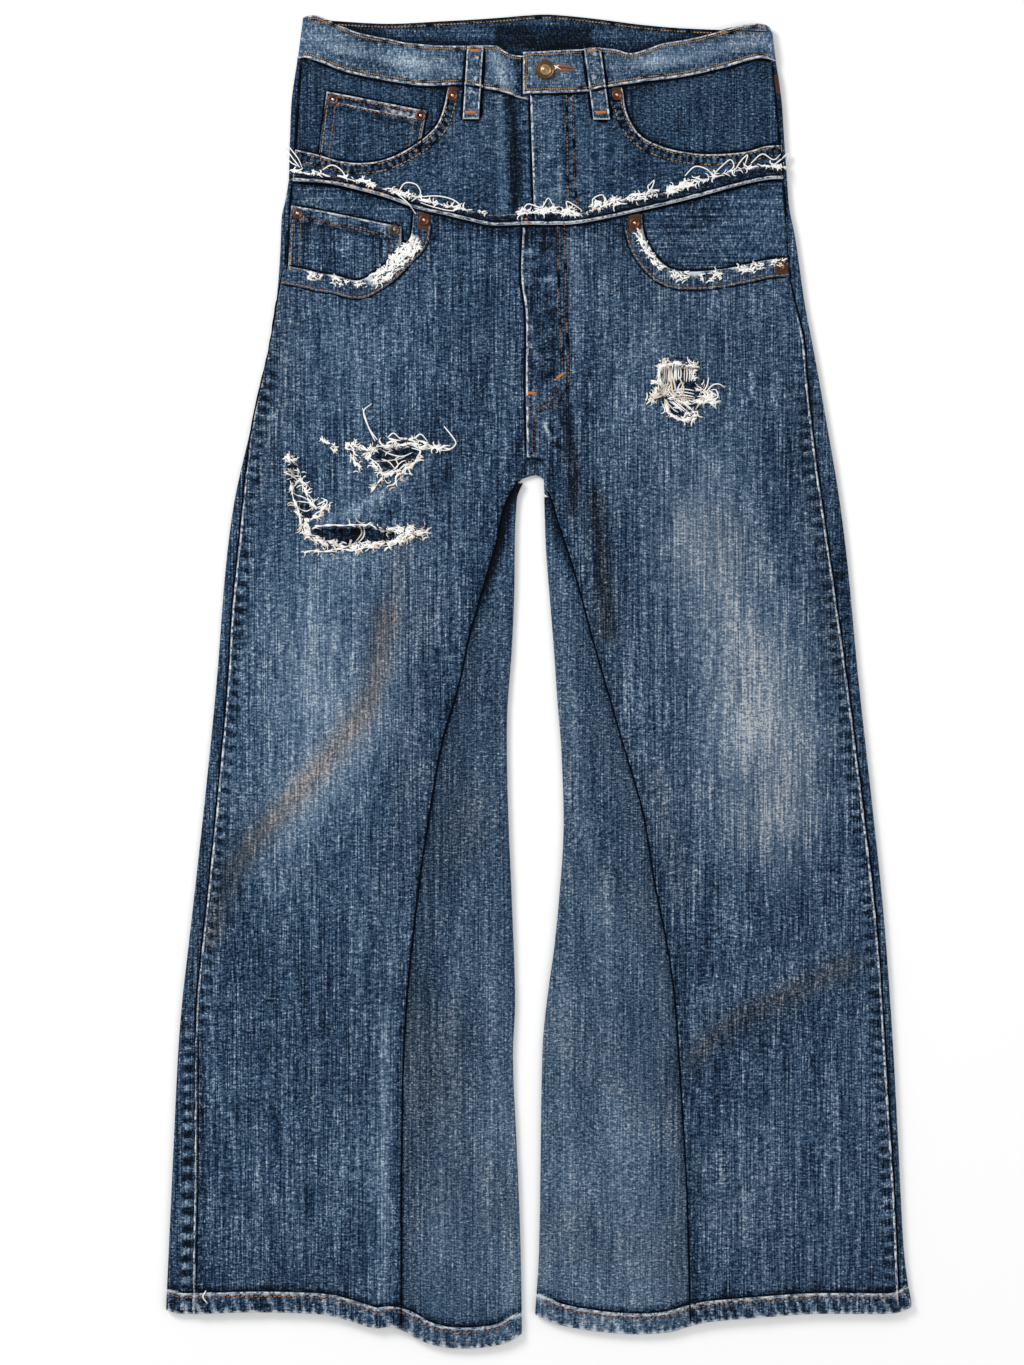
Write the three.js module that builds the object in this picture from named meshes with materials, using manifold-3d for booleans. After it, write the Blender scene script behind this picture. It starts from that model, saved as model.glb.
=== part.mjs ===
// Wide-leg ripped jeans with a second waist: the top of one pair is sewn inside the cut
// top of another, and a godet widens each leg. The garment lies flat on its back.
//
// Millimetres. +X is the wearer's left, +Y runs up to the waist, and Z = 0 is the surface
// that the garment lies on. The origin is under the middle of its outline.
//
// Each piece is a wall of cloth, a grid of points on its outer face joined to the same grid
// on its inner face. Pieces lie on each other in layers one cloth and one gap apart.
import * as THREE from "three";
import { mergeVertices } from "three/addons/utils/BufferGeometryUtils.js";
import Module from "manifold-3d";

const wasm = await Module();
wasm.setup();

// ---------------------------------------------------------------- driving dimensions
const CLOTH = 1.2; // one layer of denim
const GAP = 0.3; // between layers, and across a seam
const LAYER = CLOTH + GAP;
const BAND = 2.4; // the waistband is folded double
const STRAP = 2.0; // a belt loop is folded double and pressed

const SEAT = LAYER; // the seat lies on its pockets and belt loops
const FOLD_TOP = 4.8; // the top of what folds round from the back
const FACING = FOLD_TOP - CLOTH; // undersides of the layers on the front
const FRONT = FOLD_TOP + GAP;
const OVER_POCKET = FRONT + LAYER;
const BAND_FRONT = SEAT + BAND + 0.6;
const LOOP_UNDER = 7.7;

const HEM = -560; // the straight line that a hem is drawn on before it is curved
const HEM_REACH = 130; // how far up the leg the curve of the hem is felt
const CROTCH = 197; // where the two fronts part
const BACK_CROTCH = 184; // where the two backs part, a little lower
const SEAM_BACK = -3; // the centre back seam
const BACK_EDGE = 441; // where the second waist joins on the back
const FACING_EDGE = 12; // how far a facing runs on behind the pocket's edge
const UNDERLAP = 6; // how far a leg piece runs on under the front's edge

const INDIGO = 0x3d5878;
const INDIGO_DARK = 0x22344f;
const INDIGO_PALE = 0x5d7893;
const BRASS = 0x8a6a42;
const COPPER = 0x8f5a3c;

// ---------------------------------------------------------------- curves
const smooth = (from, to, at) => THREE.MathUtils.smoothstep((at - from) / (to - from), 0, 1);
const mix = THREE.MathUtils.lerp;

// A smooth curve through [place, value] pairs in rising order of place, read as a function.
function through(pairs) {
  const slope = (i) => {
    const [a, b] = [pairs[Math.max(i - 1, 0)], pairs[Math.min(i + 1, pairs.length - 1)]];
    return (b[1] - a[1]) / (b[0] - a[0]);
  };
  return (place) => {
    const at = THREE.MathUtils.clamp(place, pairs[0][0], pairs[pairs.length - 1][0]);
    const i = Math.max(pairs.findIndex((pair) => pair[0] >= at), 1) - 1;
    const [[p, a], [q, b]] = [pairs[i], pairs[i + 1]];
    const [w, t] = [q - p, (at - p) / (q - p)];
    const [t2, t3] = [t * t, t * t * t];
    return (
      (2 * t3 - 3 * t2 + 1) * a + (t3 - 2 * t2 + t) * w * slope(i)
      + (3 * t2 - 2 * t3) * b + (t3 - t2) * w * slope(i + 1)
    );
  };
}

// count + 1 points at even steps along a smooth curve through [x, y] points.
function pathThrough(points, count) {
  const curve = new THREE.CatmullRomCurve3(
    points.map(([x, y]) => new THREE.Vector3(x, y, 0)), false, "centripetal",
  );
  return curve.getSpacedPoints(count).map((p) => [p.x, p.y]);
}

const steps = (from, to, count) =>
  Array.from({ length: count + 1 }, (_, i) => mix(from, to, i / count));

// ---------------------------------------------------------------- the legs' outlines
// Each is x at a height y. The right leg is on -X.
const legs = {
  right: {
    side: -1,
    outer: through([
      [-560, -328], [-400, -321], [-300, -315.5], [-200, -304.5], [-100, -293.5], [0, -283.5],
      [100, -275.5], [160, -267.5], [220, -254], [290, -238], [336, -230.5], [365, -227.5],
      [400, -226], [415, -224], [441, -220],
    ]),
    outseam: through([
      [-560, -304], [-450, -302], [-300, -301], [-265, -299], [-190, -291], [-100, -282],
      [0, -273], [60, -269.5], [125, -263], [186, -257], [230, -250.5], [290, -237],
      [336, -229], [365, -224],
    ]),
    godetSeam: through([
      [-570, -122], [-368, -121], [-280, -117], [-192, -108], [-119, -97.5], [-54, -86],
      [0, -70.5], [38, -62.5], [70, -53.5], [98, -45.5], [123, -38], [157, -30], [186, -13],
    ]),
    inner: through([
      [-575, -15], [-500, -16], [-412, -19.5], [-330, -23], [-280, -21], [-192, -24],
      [-104, -27.5], [-30, -28], [28, -24], [72, -22], [160, -19.5], [179, -12],
    ]),
    hem: through([
      [-328, -552], [-316, -555.5], [-250, -554], [-190, -556], [-168, -561], [-145, -568],
      [-130, -567], [-118, -571], [-104, -579], [-85, -584.5], [-65, -586], [-45, -584.5],
      [-28, -580.5], [-15, -573],
    ]),
    godetTop: 174,
  },
  left: {
    side: 1,
    outer: through([
      [-560, 328], [-535, 324], [-500, 320.5], [-400, 315.5], [-300, 310], [-200, 302.5],
      [-100, 292], [0, 281], [100, 271.5], [160, 264], [220, 254], [290, 241.5], [336, 232.5],
      [365, 227], [400, 221], [441, 218],
    ]),
    outseam: through([
      [-560, 316], [-456, 312], [-368, 306.5], [-280, 301], [-192, 294], [-104, 283.5],
      [-16, 272.5], [54, 263], [142, 250.5], [195, 243], [265, 235], [301, 232], [345, 221.5],
      [372, 218.5],
    ]),
    godetSeam: through([
      [-570, 134], [-456, 131], [-368, 126], [-280, 120], [-236, 114], [-175, 102],
      [-113, 91.5], [-50, 73], [-12, 62], [42, 46.5], [76, 37.5], [110, 27.5], [141, 17],
      [164, 9.5], [186, -7],
    ]),
    inner: through([
      [-560, -3.5], [-500, 0], [-324, 3], [-280, 7], [-236, 13], [-192, 17.5], [-130, 21.5],
      [-60, 19.5], [-16, 16], [28, 13], [72, 9.5], [116, 6], [179, 4],
    ]),
    hem: through([
      [-3.5, -556], [14, -564], [40, -569.5], [66, -572.5], [90, -573.5], [115, -571.5],
      [131, -567], [146, -563], [190, -559], [240, -555.5], [300, -555.5], [318, -554],
      [328, -549],
    ]),
    godetTop: 162,
  },
};

// Where the cut edge of the outer pair is sewn on, as y at x.
const ridge = through([
  [-220, 440], [-185, 437.5], [-157, 431.5], [-132, 424.5], [-106, 415], [-80, 409.5],
  [-63, 405.5], [-42, 401], [-16, 401.5], [27, 401.7], [46, 404.5], [68, 409], [90, 414],
  [118, 420.5], [145, 427.5], [172, 435], [199, 441], [218, 442],
]);
// The raw top of that edge.
const rawEdge = through([
  [-218, 448], [-181, 444], [-157, 439], [-132, 431.5], [-98, 421], [-66, 414.5],
  [-40, 409.5], [-16, 411], [9, 412], [37, 411], [60, 418], [91, 425], [115, 430],
  [136, 437], [163, 446], [197, 452], [217, 451],
]);
// The fly edges, as x at y. The left front laps over the right.
const flyLower = through([[CROTCH, -10.5], [255, -11.5], [322, -11.5], [355, -15.5], [401, -14]]);
const flyUpper = through([[402, -4], [460, -6], [520, -8]]);
const FLY_LAP = 8;

// The waistband's edges, as y at x.
const bandEdges = {
  right: {
    top: through([
      [-207.5, 583], [-198, 585], [-188, 582], [-176, 576], [-157, 569], [-132, 564],
      [-115, 560.5], [-80, 558], [-38, 558], [-30, 553], [-21, 550], [-9, 549],
    ]),
    bottom: through([
      [-212, 547.5], [-205, 548], [-192, 544], [-171, 536], [-150, 531], [-122, 526],
      [-101, 523.5], [-66, 524], [-45, 520.5], [-32, 518], [-20, 513.5], [-9, 511],
    ]),
  },
  left: {
    top: through([
      [-15, 552], [10, 553], [37, 555], [55, 556], [66, 555], [80, 551.5], [91, 554],
      [109, 560], [136, 564.7], [163, 572], [183, 577], [199, 576.5], [205, 571],
    ]),
    bottom: through([
      [-15, 516], [20, 517], [43, 518.3], [59, 522], [91, 527], [127, 531.5], [163, 539.5],
      [185, 546], [197, 547.7], [208, 545],
    ]),
  },
  back: {
    top: through([
      [-207.5, 583], [-180, 580.5], [-132, 578], [-80, 580.5], [-45, 582.5], [0, 586],
      [18, 585.5], [52, 582], [91, 577], [127, 574], [205, 571],
    ]),
    bottom: through([[-212, 547.5], [0, 550], [208, 545]]),
  },
};

// Pocket openings, from the side seam to the waist.
const scoops = {
  upperRight: [
    [-214, 467], [-193, 462], [-176, 457], [-157, 455], [-136, 458], [-115, 467.5],
    [-98, 479.5], [-89, 490], [-84, 503], [-80, 521],
  ],
  upperLeft: [
    [213, 471], [199, 470], [181, 465], [145, 463], [122, 466], [106, 470.5], [91, 478],
    [82, 488.5], [76, 503], [73, 522],
  ],
  lowerRight: [
    [-224, 365], [-207, 362], [-193, 358.5], [-179, 356.5], [-159, 352], [-143, 360],
    [-132, 369], [-122, 380], [-113, 390], [-110, 414],
  ],
  lowerLeft: [
    [218, 372], [199, 370], [181, 366], [160, 362], [136, 360], [118, 361.5], [107, 368.5],
    [98.5, 379], [92, 393], [90, 412],
  ],
};

// ---------------------------------------------------------------- heights of the layers
// The underside of the back rises from the legs to the seat.
const backUnder = (y) => SEAT * smooth(60, 150, y);

// The soft folds of the legs' fronts: ridges along lines, each with its width and height.
const folds = [
  { line: [[-118, 110], [-150, -20], [-212, -130], [-285, -225]], wide: 34, high: 2.2 },
  { line: [[-250, 90], [-245, -60], [-268, -200]], wide: 30, high: 1.2 },
  { line: [[140, -335], [185, -290], [285, -250]], wide: 34, high: 2.0 },
  { line: [[60, 150], [110, 0], [165, -150]], wide: 40, high: 1.4 },
  { line: [[215, 60], [225, -120], [240, -250]], wide: 45, high: 1.6 },
];

function distanceTo(line, x, y) {
  const ends = line.slice(1).map(([bx, by], i) => {
    const [ax, ay] = line[i];
    const along = ((x - ax) * (bx - ax) + (y - ay) * (by - ay)) / ((bx - ax) ** 2 + (by - ay) ** 2);
    const t = THREE.MathUtils.clamp(along, 0, 1);
    return Math.hypot(x - mix(ax, bx, t), y - mix(ay, by, t));
  });
  return Math.min(...ends);
}

const foldLift = (x, y) =>
  folds.reduce((sum, f) => sum + f.high * Math.exp(-((distanceTo(f.line, x, y) / f.wide) ** 2)), 0);

function lowerFrontUnder(side, x, y) {
  const pocket = side < 0 ? smooth(300, 335, y) * smooth(-70, -100, x) : 0;
  const fly = side > 0 ? smooth(120, CROTCH, y) * smooth(60, 20, x) : 0;
  return FRONT + LAYER * (pocket + fly) + foldLift(x, y) * smooth(300, 200, y);
}

const upperFrontUnder = (side, x) =>
  FRONT + LAYER * (side < 0 ? smooth(-70, -100, x) : smooth(60, 20, x));

// ---------------------------------------------------------------- walls of cloth
// A closed wall between two grids of points, [row][column], one on each face.
function wall(outer, inner) {
  const [rows, columns] = [outer.length, outer[0].length];
  const index = (grid, r, c) => grid * rows * columns + r * columns + c;
  const faces = [];
  const quad = (a, b, c, d) => faces.push(a, b, c, a, c, d);
  for (let r = 0; r < rows - 1; r++) {
    for (let c = 0; c < columns - 1; c++) {
      quad(index(0, r, c), index(0, r, c + 1), index(0, r + 1, c + 1), index(0, r + 1, c));
      quad(index(1, r, c), index(1, r + 1, c), index(1, r + 1, c + 1), index(1, r, c + 1));
    }
    quad(index(0, r, 0), index(0, r + 1, 0), index(1, r + 1, 0), index(1, r, 0));
    const last = columns - 1;
    quad(index(0, r, last), index(1, r, last), index(1, r + 1, last), index(0, r + 1, last));
  }
  for (let c = 0; c < columns - 1; c++) {
    quad(index(0, 0, c), index(1, 0, c), index(1, 0, c + 1), index(0, 0, c + 1));
    const last = rows - 1;
    quad(index(0, last, c), index(0, last, c + 1), index(1, last, c + 1), index(1, last, c));
  }
  const points = [...outer.flat(), ...inner.flat()];
  return facingOut(new THREE.BufferGeometry().setFromPoints(points).setIndex(faces));
}

// Turns every face round if the solid is inside out.
function facingOut(geometry) {
  const at = geometry.getAttribute("position");
  const index = geometry.getIndex().array;
  const corner = (i) => new THREE.Vector3().fromBufferAttribute(at, index[i]);
  let volume = 0;
  for (let i = 0; i < index.length; i += 3) {
    volume += corner(i).dot(corner(i + 1).cross(corner(i + 2)));
  }
  if (volume < 0) index.reverse();
  return geometry;
}

// A wall that lies flat: rows of [x, y] points, with its underside at a height under(x, y).
function flatWall(rows, under, thickness = CLOTH) {
  const face = (lift) =>
    rows.map((row) => row.map(([x, y]) => new THREE.Vector3(x, y, under(x, y) + lift)));
  return wall(face(thickness), face(0));
}

// Rows from one edge to another, each a list of the same number of [x, y] points.
const ruled = (bottom, top, count) =>
  steps(0, 1, count).map((t) => bottom.map(([x, y], i) => [mix(x, top[i][0], t), mix(y, top[i][1], t)]));

// One section, as [x, z] points on both faces, of cloth that comes along the bottom from
// `from`, folds round at `foldAt` and comes back on top as far as `to`.
function foldedSection(from, foldAt, to, under, top, counts) {
  const side = Math.sign(foldAt - from);
  const radius = (top - under) / 2;
  const centre = [foldAt - side * radius, under + radius];
  const face = (inset) => [
    ...steps(from, centre[0], counts[0]).map((x) => [x, under + inset]),
    ...steps(0, Math.PI, counts[1]).slice(1, -1).map((turn) => [
      centre[0] + side * (radius - inset) * Math.sin(turn),
      centre[1] - (radius - inset) * Math.cos(turn),
    ]),
    ...steps(centre[0], to, counts[2]).map((x) => [x, top - inset]),
  ];
  return { outer: face(0), inner: face(CLOTH) };
}

// A wall through such sections at heights y, each point moved in y by warp(x, y).
function foldedWall(heights, sectionAt, warp = () => 0) {
  const sections = heights.map((y) => ({ y, ...sectionAt(y) }));
  const face = (name) =>
    sections.map((s) => s[name].map(([x, z]) => new THREE.Vector3(x, s.y + warp(x, s.y), z)));
  return wall(face("outer"), face("inner"));
}

const hemWarp = (leg, x, y) => (leg.hem(x) - HEM) * smooth(HEM + HEM_REACH, HEM, y);

// ---------------------------------------------------------------- booleans
function solidOf(geometry) {
  const bare = new THREE.BufferGeometry();
  bare.setAttribute("position", geometry.getAttribute("position"));
  bare.setIndex(geometry.getIndex());
  const merged = mergeVertices(bare, 1e-4);
  return new wasm.Manifold(new wasm.Mesh({
    numProp: 3,
    vertProperties: merged.getAttribute("position").array,
    triVerts: new Uint32Array(merged.getIndex().array),
  }));
}

function geometryOf(solid) {
  const mesh = solid.getMesh();
  return new THREE.BufferGeometry()
    .setAttribute("position", new THREE.BufferAttribute(mesh.vertProperties, 3))
    .setIndex(new THREE.BufferAttribute(mesh.triVerts, 1));
}

// Cuts a hole of that outline right through a piece.
function cutThrough(geometry, outline) {
  const shape = new THREE.Shape(outline.map(([x, y]) => new THREE.Vector2(x, y)));
  const cutter = new THREE.ExtrudeGeometry(shape, { depth: 30, bevelEnabled: false });
  const merged = mergeVertices(
    new THREE.BufferGeometry().setAttribute("position", cutter.getAttribute("position")), 1e-4,
  );
  return geometryOf(solidOf(geometry).subtract(solidOf(merged)));
}

// ---------------------------------------------------------------- the model
const jeans = new THREE.Group();

function add(name, geometry, colour, metalness = 0) {
  const roughness = metalness ? 0.4 : 0.9;
  const material = new THREE.MeshStandardMaterial({ color: colour, roughness, metalness });
  const mesh = new THREE.Mesh(geometry, material);
  mesh.name = name;
  jeans.add(mesh);
  return mesh;
}

// ---------------------------------------------------------------- the outer pair: legs
const LEG_COLUMNS = 9;
const LEG_SPLIT = 325; // below this a row of the front is level; above, rows follow the pocket
const LEG_TOP = 150; // below this the rows of a leg's pieces are evenly spaced
const LEG_ROWS = steps(HEM, LEG_TOP, 16);

function lowerFront(leg, topEdge) {
  const innerAt = (y) => {
    if (y < CROTCH) return leg.godetSeam(y);
    return leg.side > 0 ? flyLower(y) : flyLower(y) - GAP + (FLY_LAP + GAP) * smooth(CROTCH, 225, y);
  };
  const levels = [...LEG_ROWS, leg.godetTop, CROTCH, 225, 275, LEG_SPLIT];
  const legRows = levels.map((y) =>
    steps(leg.outseam(y), innerAt(y), LEG_COLUMNS).map((x) => [x, y + hemWarp(leg, x, y)]));
  const hipRows = ruled(legRows[legRows.length - 1], topEdge, 3).slice(1);
  return flatWall([...legRows, ...hipRows], (x, y) => lowerFrontUnder(leg.side, x, y));
}

// The top of a front: along the pocket opening, then along the seam to the fly.
function frontTop(scoop, edge, flyX, count) {
  const seam = steps(scoop[scoop.length - 1][0], flyX, count).map((x) => [x, edge(x)]);
  const pocket = pathThrough(scoop, LEG_COLUMNS - count);
  pocket[pocket.length - 1] = seam[0];
  return [...pocket, ...seam.slice(1)];
}

const belowRidge = (x) => ridge(x) - 1.4;
const lowerTops = {
  right: frontTop(scoops.lowerRight, belowRidge, flyLower(401) + 5, 4),
  left: frontTop(scoops.lowerLeft, belowRidge, flyLower(401), 4),
};

const rips = {
  knee: [[-198, 136], [-150, 136.5], [-127, 134], [-129, 125], [-150, 123.5], [-172, 121.5], [-192, 127]],
  thigh: [[-141, 206], [-112, 205], [-110, 197], [-118, 189], [-130, 187], [-138, 194]],
  slash: [[-219, 192], [-213, 192], [-203, 160], [-200, 145], [-207, 145], [-215, 166]],
  leftThigh: [[107, 273], [134, 273], [132, 255], [137, 248], [132, 236], [120, 234], [113, 248]],
};

let rightFront = lowerFront(legs.right, lowerTops.right);
for (const name of ["knee", "thigh", "slash"]) rightFront = cutThrough(rightFront, rips[name]);
add("front_right", rightFront, INDIGO);
add("front_left", cutThrough(lowerFront(legs.left, lowerTops.left), rips.leftThigh), INDIGO);

// The yoke is deepest at the centre back.
const yokeSeam = (x) => 365 + 30 * Math.min(Math.abs(x) / 220, 1);
const YOKE_LINE = 380;
const yokeWarp = (x, y) => (yokeSeam(x) - YOKE_LINE) * smooth(YOKE_LINE - 60, YOKE_LINE, y);

// A back wraps round the side to its seam on the front, and laps a little under the front.
function backPanel(leg) {
  const leastWrap = 4;
  const heights = [...LEG_ROWS, leg.godetTop, BACK_CROTCH, 260, 320, YOKE_LINE - GAP];
  const sectionAt = (y) => {
    const from = y < BACK_CROTCH ? leg.godetSeam(y) : SEAM_BACK + leg.side * GAP / 2;
    const seam = Math.abs(leg.outseam(y)) - UNDERLAP * smooth(345, 300, y);
    const to = leg.side * Math.min(seam, Math.abs(leg.outer(y)) - leastWrap);
    return foldedSection(from, leg.outer(y), to, backUnder(y), FOLD_TOP, [6, 4, 1]);
  };
  return foldedWall(heights, sectionAt, (x, y) => hemWarp(leg, x, y) + yokeWarp(x, y));
}

function godet(leg) {
  const gapSide = -leg.side * GAP;
  const sectionAt = (y) => foldedSection(
    leg.godetSeam(y) + gapSide, leg.inner(y), leg.godetSeam(y) + leg.side * UNDERLAP,
    backUnder(y), FOLD_TOP, [3, 4, 3],
  );
  return foldedWall([...LEG_ROWS, leg.godetTop], sectionAt, (x, y) => hemWarp(leg, x, y));
}

// The side seams above the legs, as x at y.
const sideSeams = {
  upperRight: (y) => mix(-216, -208.5, (y - 440) / 105),
  upperLeft: (y) => mix(213.5, 204, (y - 440) / 105),
  lowerRight: (y) => mix(-223.5, -216.5, (y - 350) / 88),
  lowerLeft: (y) => mix(220, 213.8, (y - 355) / 85),
};

function yoke(leg, seam) {
  const heights = [YOKE_LINE, 400, 415, BACK_EDGE - 0.6];
  const warp = (x, y) => (yokeSeam(x) - YOKE_LINE) * smooth(BACK_EDGE - 10, YOKE_LINE, y);
  const sectionAt = (y) =>
    foldedSection(SEAM_BACK + leg.side * GAP / 2, leg.outer(y), seam(y), SEAT, FOLD_TOP, [6, 4, 1]);
  return foldedWall(heights, sectionAt, warp);
}

for (const [name, leg] of Object.entries(legs)) {
  const seam = sideSeams[name === "right" ? "lowerRight" : "lowerLeft"];
  add(`back_${name}`, backPanel(leg), INDIGO);
  add(`yoke_${name}`, yoke(leg, seam), INDIGO);
  add(`godet_${name}`, godet(leg), INDIGO_PALE);
}

// ---------------------------------------------------------------- facings and coin pockets
// A facing fills a pocket opening from the side seam, and runs on behind the front.
function facing(seam, top, bottom, columns) {
  const side = Math.sign(seam(bottom[0][1]));
  const from = (edge) => {
    const y = edge[0][1];
    return [[seam(y) - side * GAP, y], ...edge.slice(1)];
  };
  const [low, high] = [pathThrough(from(bottom), columns), pathThrough(from(top), columns)];
  return flatWall(ruled(low, high, 3), () => FACING);
}

const underBand = (edge, x) => [x, edge(x) - 0.8];
const bandRight = bandEdges.right.bottom;
const bandLeft = bandEdges.left.bottom;
add("pocket_facing_upper_right", facing(
  sideSeams.upperRight,
  [[-208, 544], ...[-192, -171, -150, -122, -101, -68].map((x) => underBand(bandRight, x))],
  [[-214, 452], [-180, 446], [-150, 444], [-120, 452], [-95, 466], [-76, 482]], 7,
), INDIGO);
add("pocket_facing_upper_left", facing(
  sideSeams.upperLeft,
  [[204, 542], ...[185, 163, 140, 120, 91, 62].map((x) => underBand(bandLeft, x))],
  [[212, 456], [190, 452], [150, 450], [118, 453], [92, 464], [68, 482]], 7,
), INDIGO);
add("pocket_facing_right", facing(
  sideSeams.lowerRight,
  [[-217, 438], ...[-195, -170, -145, -120, -98].map((x) => [x, belowRidge(x) - 0.2])],
  [[-223, 350], [-195, 345], [-160, 339], [-135, 346], [-112, 362], [-99, 382]], 7,
), INDIGO);
add("pocket_facing_left", facing(
  sideSeams.lowerLeft,
  [[214, 440.5], ...[195, 170, 145, 110, 78].map((x) => [x, belowRidge(x) - 0.2])],
  [[219, 358], [190, 353], [150, 347], [118, 348], [92, 360], [78, 382]], 7,
), INDIGO);

const coinPocket = (bottom, top) =>
  flatWall(ruled(pathThrough(bottom, 4), pathThrough(top, 4), 3), () => FRONT);
add("coin_pocket_upper", coinPocket(
  [[-194, 457], [-170, 449], [-146, 449], [-122, 455], [-106, 464]],
  [[-186.5, 518], [-165, 514], [-143, 509.5], [-120, 505], [-99, 501]],
), INDIGO);
add("coin_pocket", coinPocket(
  [[-220.5, 360], [-195, 350], [-165, 345], [-140, 351], [-121, 369]],
  [[-217.6, 418], [-195, 414], [-170, 409], [-145, 404], [-121, 399]],
), INDIGO);

// ---------------------------------------------------------------- the second waist
function upperFront(side, scoop, seam, edge) {
  const lap = side < 0 ? FLY_LAP : 0;
  const bottom = steps(seam(441), flyUpper(402) + lap, LEG_COLUMNS).map((x) => [x, ridge(x) + 0.5]);
  const top = frontTop(scoop, (x) => edge(x) - 0.8, flyUpper(520) + lap, 4);
  return flatWall(ruled(bottom, top, 5), (x) => upperFrontUnder(side, x));
}

add("front_upper_right", upperFront(
  -1, scoops.upperRight, sideSeams.upperRight, (x) => bandRight(Math.min(x, -9)) - (x > -9 ? 1 : 0),
), INDIGO);
add("front_upper_left", upperFront(1, scoops.upperLeft, sideSeams.upperLeft, bandLeft), INDIGO);

function upperBack(side, outer, seam) {
  const heights = [BACK_EDGE, 470, 510, 544.2];
  return foldedWall(heights, (y) =>
    foldedSection(SEAM_BACK + side * GAP / 2, outer(y), seam(y), SEAT, FOLD_TOP, [5, 4, 1]));
}

const upperOuter = {
  right: through([[441, -220], [476, -219], [512, -217.4], [546, -212.5]]),
  left: through([[441, 218], [476, 215.5], [512, 213], [546, 208]]),
};
add("back_upper_right", upperBack(-1, upperOuter.right, sideSeams.upperRight), INDIGO);
add("back_upper_left", upperBack(1, upperOuter.left, sideSeams.upperLeft), INDIGO);

// The strip of turned and frayed cloth along the join, on the front and across the back.
function joinStrip(from, to, under) {
  const columns = 14;
  const edge = (curve, out) => steps(from, to, columns).map((x) => [x, curve(x) + out]);
  return flatWall(ruled(edge(ridge, -0.6), edge(rawEdge, 0), 2), under);
}

const overUpper = (side) => (x) => upperFrontUnder(side, x) + LAYER;
add("join_strip_right", joinStrip(-216, -16.5, overUpper(-1)), INDIGO_DARK);
add("join_strip_left", joinStrip(-15.5, 214, overUpper(1)), INDIGO_DARK);
const backRow = (y) => steps(-214, 211, 6).map((x) => [x, y]);
const backStrip = ruled(backRow(BACK_EDGE - 1), backRow(BACK_EDGE + 9), 1);
add("join_strip_back", flatWall(backStrip, () => 0), INDIGO_DARK);

// The waistband is one length: from the right front round the back to the left front.
function waistband() {
  const middle = { front: BAND_FRONT + BAND / 2, back: SEAT + BAND / 2 };
  const bend = (middle.front - middle.back) / 2;
  const out = bend + BAND / 2;
  const stations = [];
  const station = (xLow, yLow, xTop, yTop, z, nx, nz) =>
    stations.push({ low: [xLow, yLow, z], top: [xTop, yTop, z], nx, nz });
  const stretch = (edges, lows, tops, count, z, nz) => {
    for (let i = 0; i <= count; i++) {
      const [xLow, xTop] = [mix(lows[0], lows[1], i / count), mix(tops[0], tops[1], i / count)];
      station(xLow, edges.bottom(xLow), xTop, edges.top(xTop), z(xLow), 0, nz);
    }
  };
  const turn = (side, xLow, xTop, yLow, yTop, upward) => {
    for (const angle of steps(0, Math.PI, 4).slice(1, -1)) {
      const [sin, cos] = [Math.sin(angle), Math.cos(angle) * (upward ? -1 : 1)];
      station(
        xLow - side * out + side * bend * sin, yLow, xTop - side * out + side * bend * sin, yTop,
        (middle.front + middle.back) / 2 + bend * cos, side * sin, cos,
      );
    }
  };
  const overlap = (x) => middle.front + (BAND + GAP) * smooth(45, 15, x);
  stretch(bandEdges.right, [-9, -212 + out], [-9, -207.5 + out], 12, () => middle.front, 1);
  turn(-1, -212, -207.5, 547.5, 583, false);
  stretch(bandEdges.back, [-212 + out, 208 - out], [-207.5 + out, 205 - out], 16, () => middle.back, -1);
  turn(1, 208, 205, 545, 571, true);
  stretch(bandEdges.left, [208 - out, -14], [205 - out, -14], 14, overlap, 1);
  const face = (sign) => stations.map((s) => [s.low, s.top].map(([x, y, z]) =>
    new THREE.Vector3(x + sign * s.nx * BAND / 2, y, z + sign * s.nz * BAND / 2)));
  return wall(face(1), face(-1));
}
add("waistband", waistband(), INDIGO);

// ---------------------------------------------------------------- pockets and loops on the back
// A patch pocket with the usual point at the bottom, under the seat.
function patchPocket(centre, halfWidth, top, bottom) {
  const point = 22;
  const xs = steps(-1, 1, 4);
  const low = xs.map((t) => [centre + t * halfWidth * 0.9, bottom + point * Math.abs(t)]);
  const high = xs.map((t) => [centre + t * halfWidth, top]);
  return flatWall(ruled(low, high, 2), () => 0);
}
add("back_pocket_right", patchPocket(-112, 72, 348, 188), INDIGO);
add("back_pocket_left", patchPocket(108, 72, 348, 188), INDIGO);

// A belt loop lies over the waistband and is tacked at both ends.
function beltLoop(top, bottom, width, under, thickness) {
  const arch = 0.8;
  const rows = steps(0, 1, 6).map((t) => {
    const [x, y] = [mix(bottom[0], top[0], t), mix(bottom[1], top[1], t)];
    return steps(-width / 2, width / 2, 2).map((dx) => [x + dx, y]);
  });
  const lift = (x, y) => under + arch * Math.sin(Math.PI * (y - bottom[1]) / (top[1] - bottom[1]));
  return flatWall(rows, under ? lift : () => 0, thickness);
}
add("belt_loop_right", beltLoop([-56, 557], [-60, 493.5], 14, LOOP_UNDER, STRAP), INDIGO);
add("belt_loop_left", beltLoop([46.5, 557], [55, 493], 14.5, LOOP_UNDER, STRAP), INDIGO);
add("belt_loop_back", beltLoop([-3, 584], [-3, 520], 14, 0, CLOTH), INDIGO);
add("belt_loop_back_right", beltLoop([-128, 577], [-128, 517], 14, 0, CLOTH), INDIGO);
add("belt_loop_back_left", beltLoop([122, 573], [122, 513], 14, 0, CLOTH), INDIGO);

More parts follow.
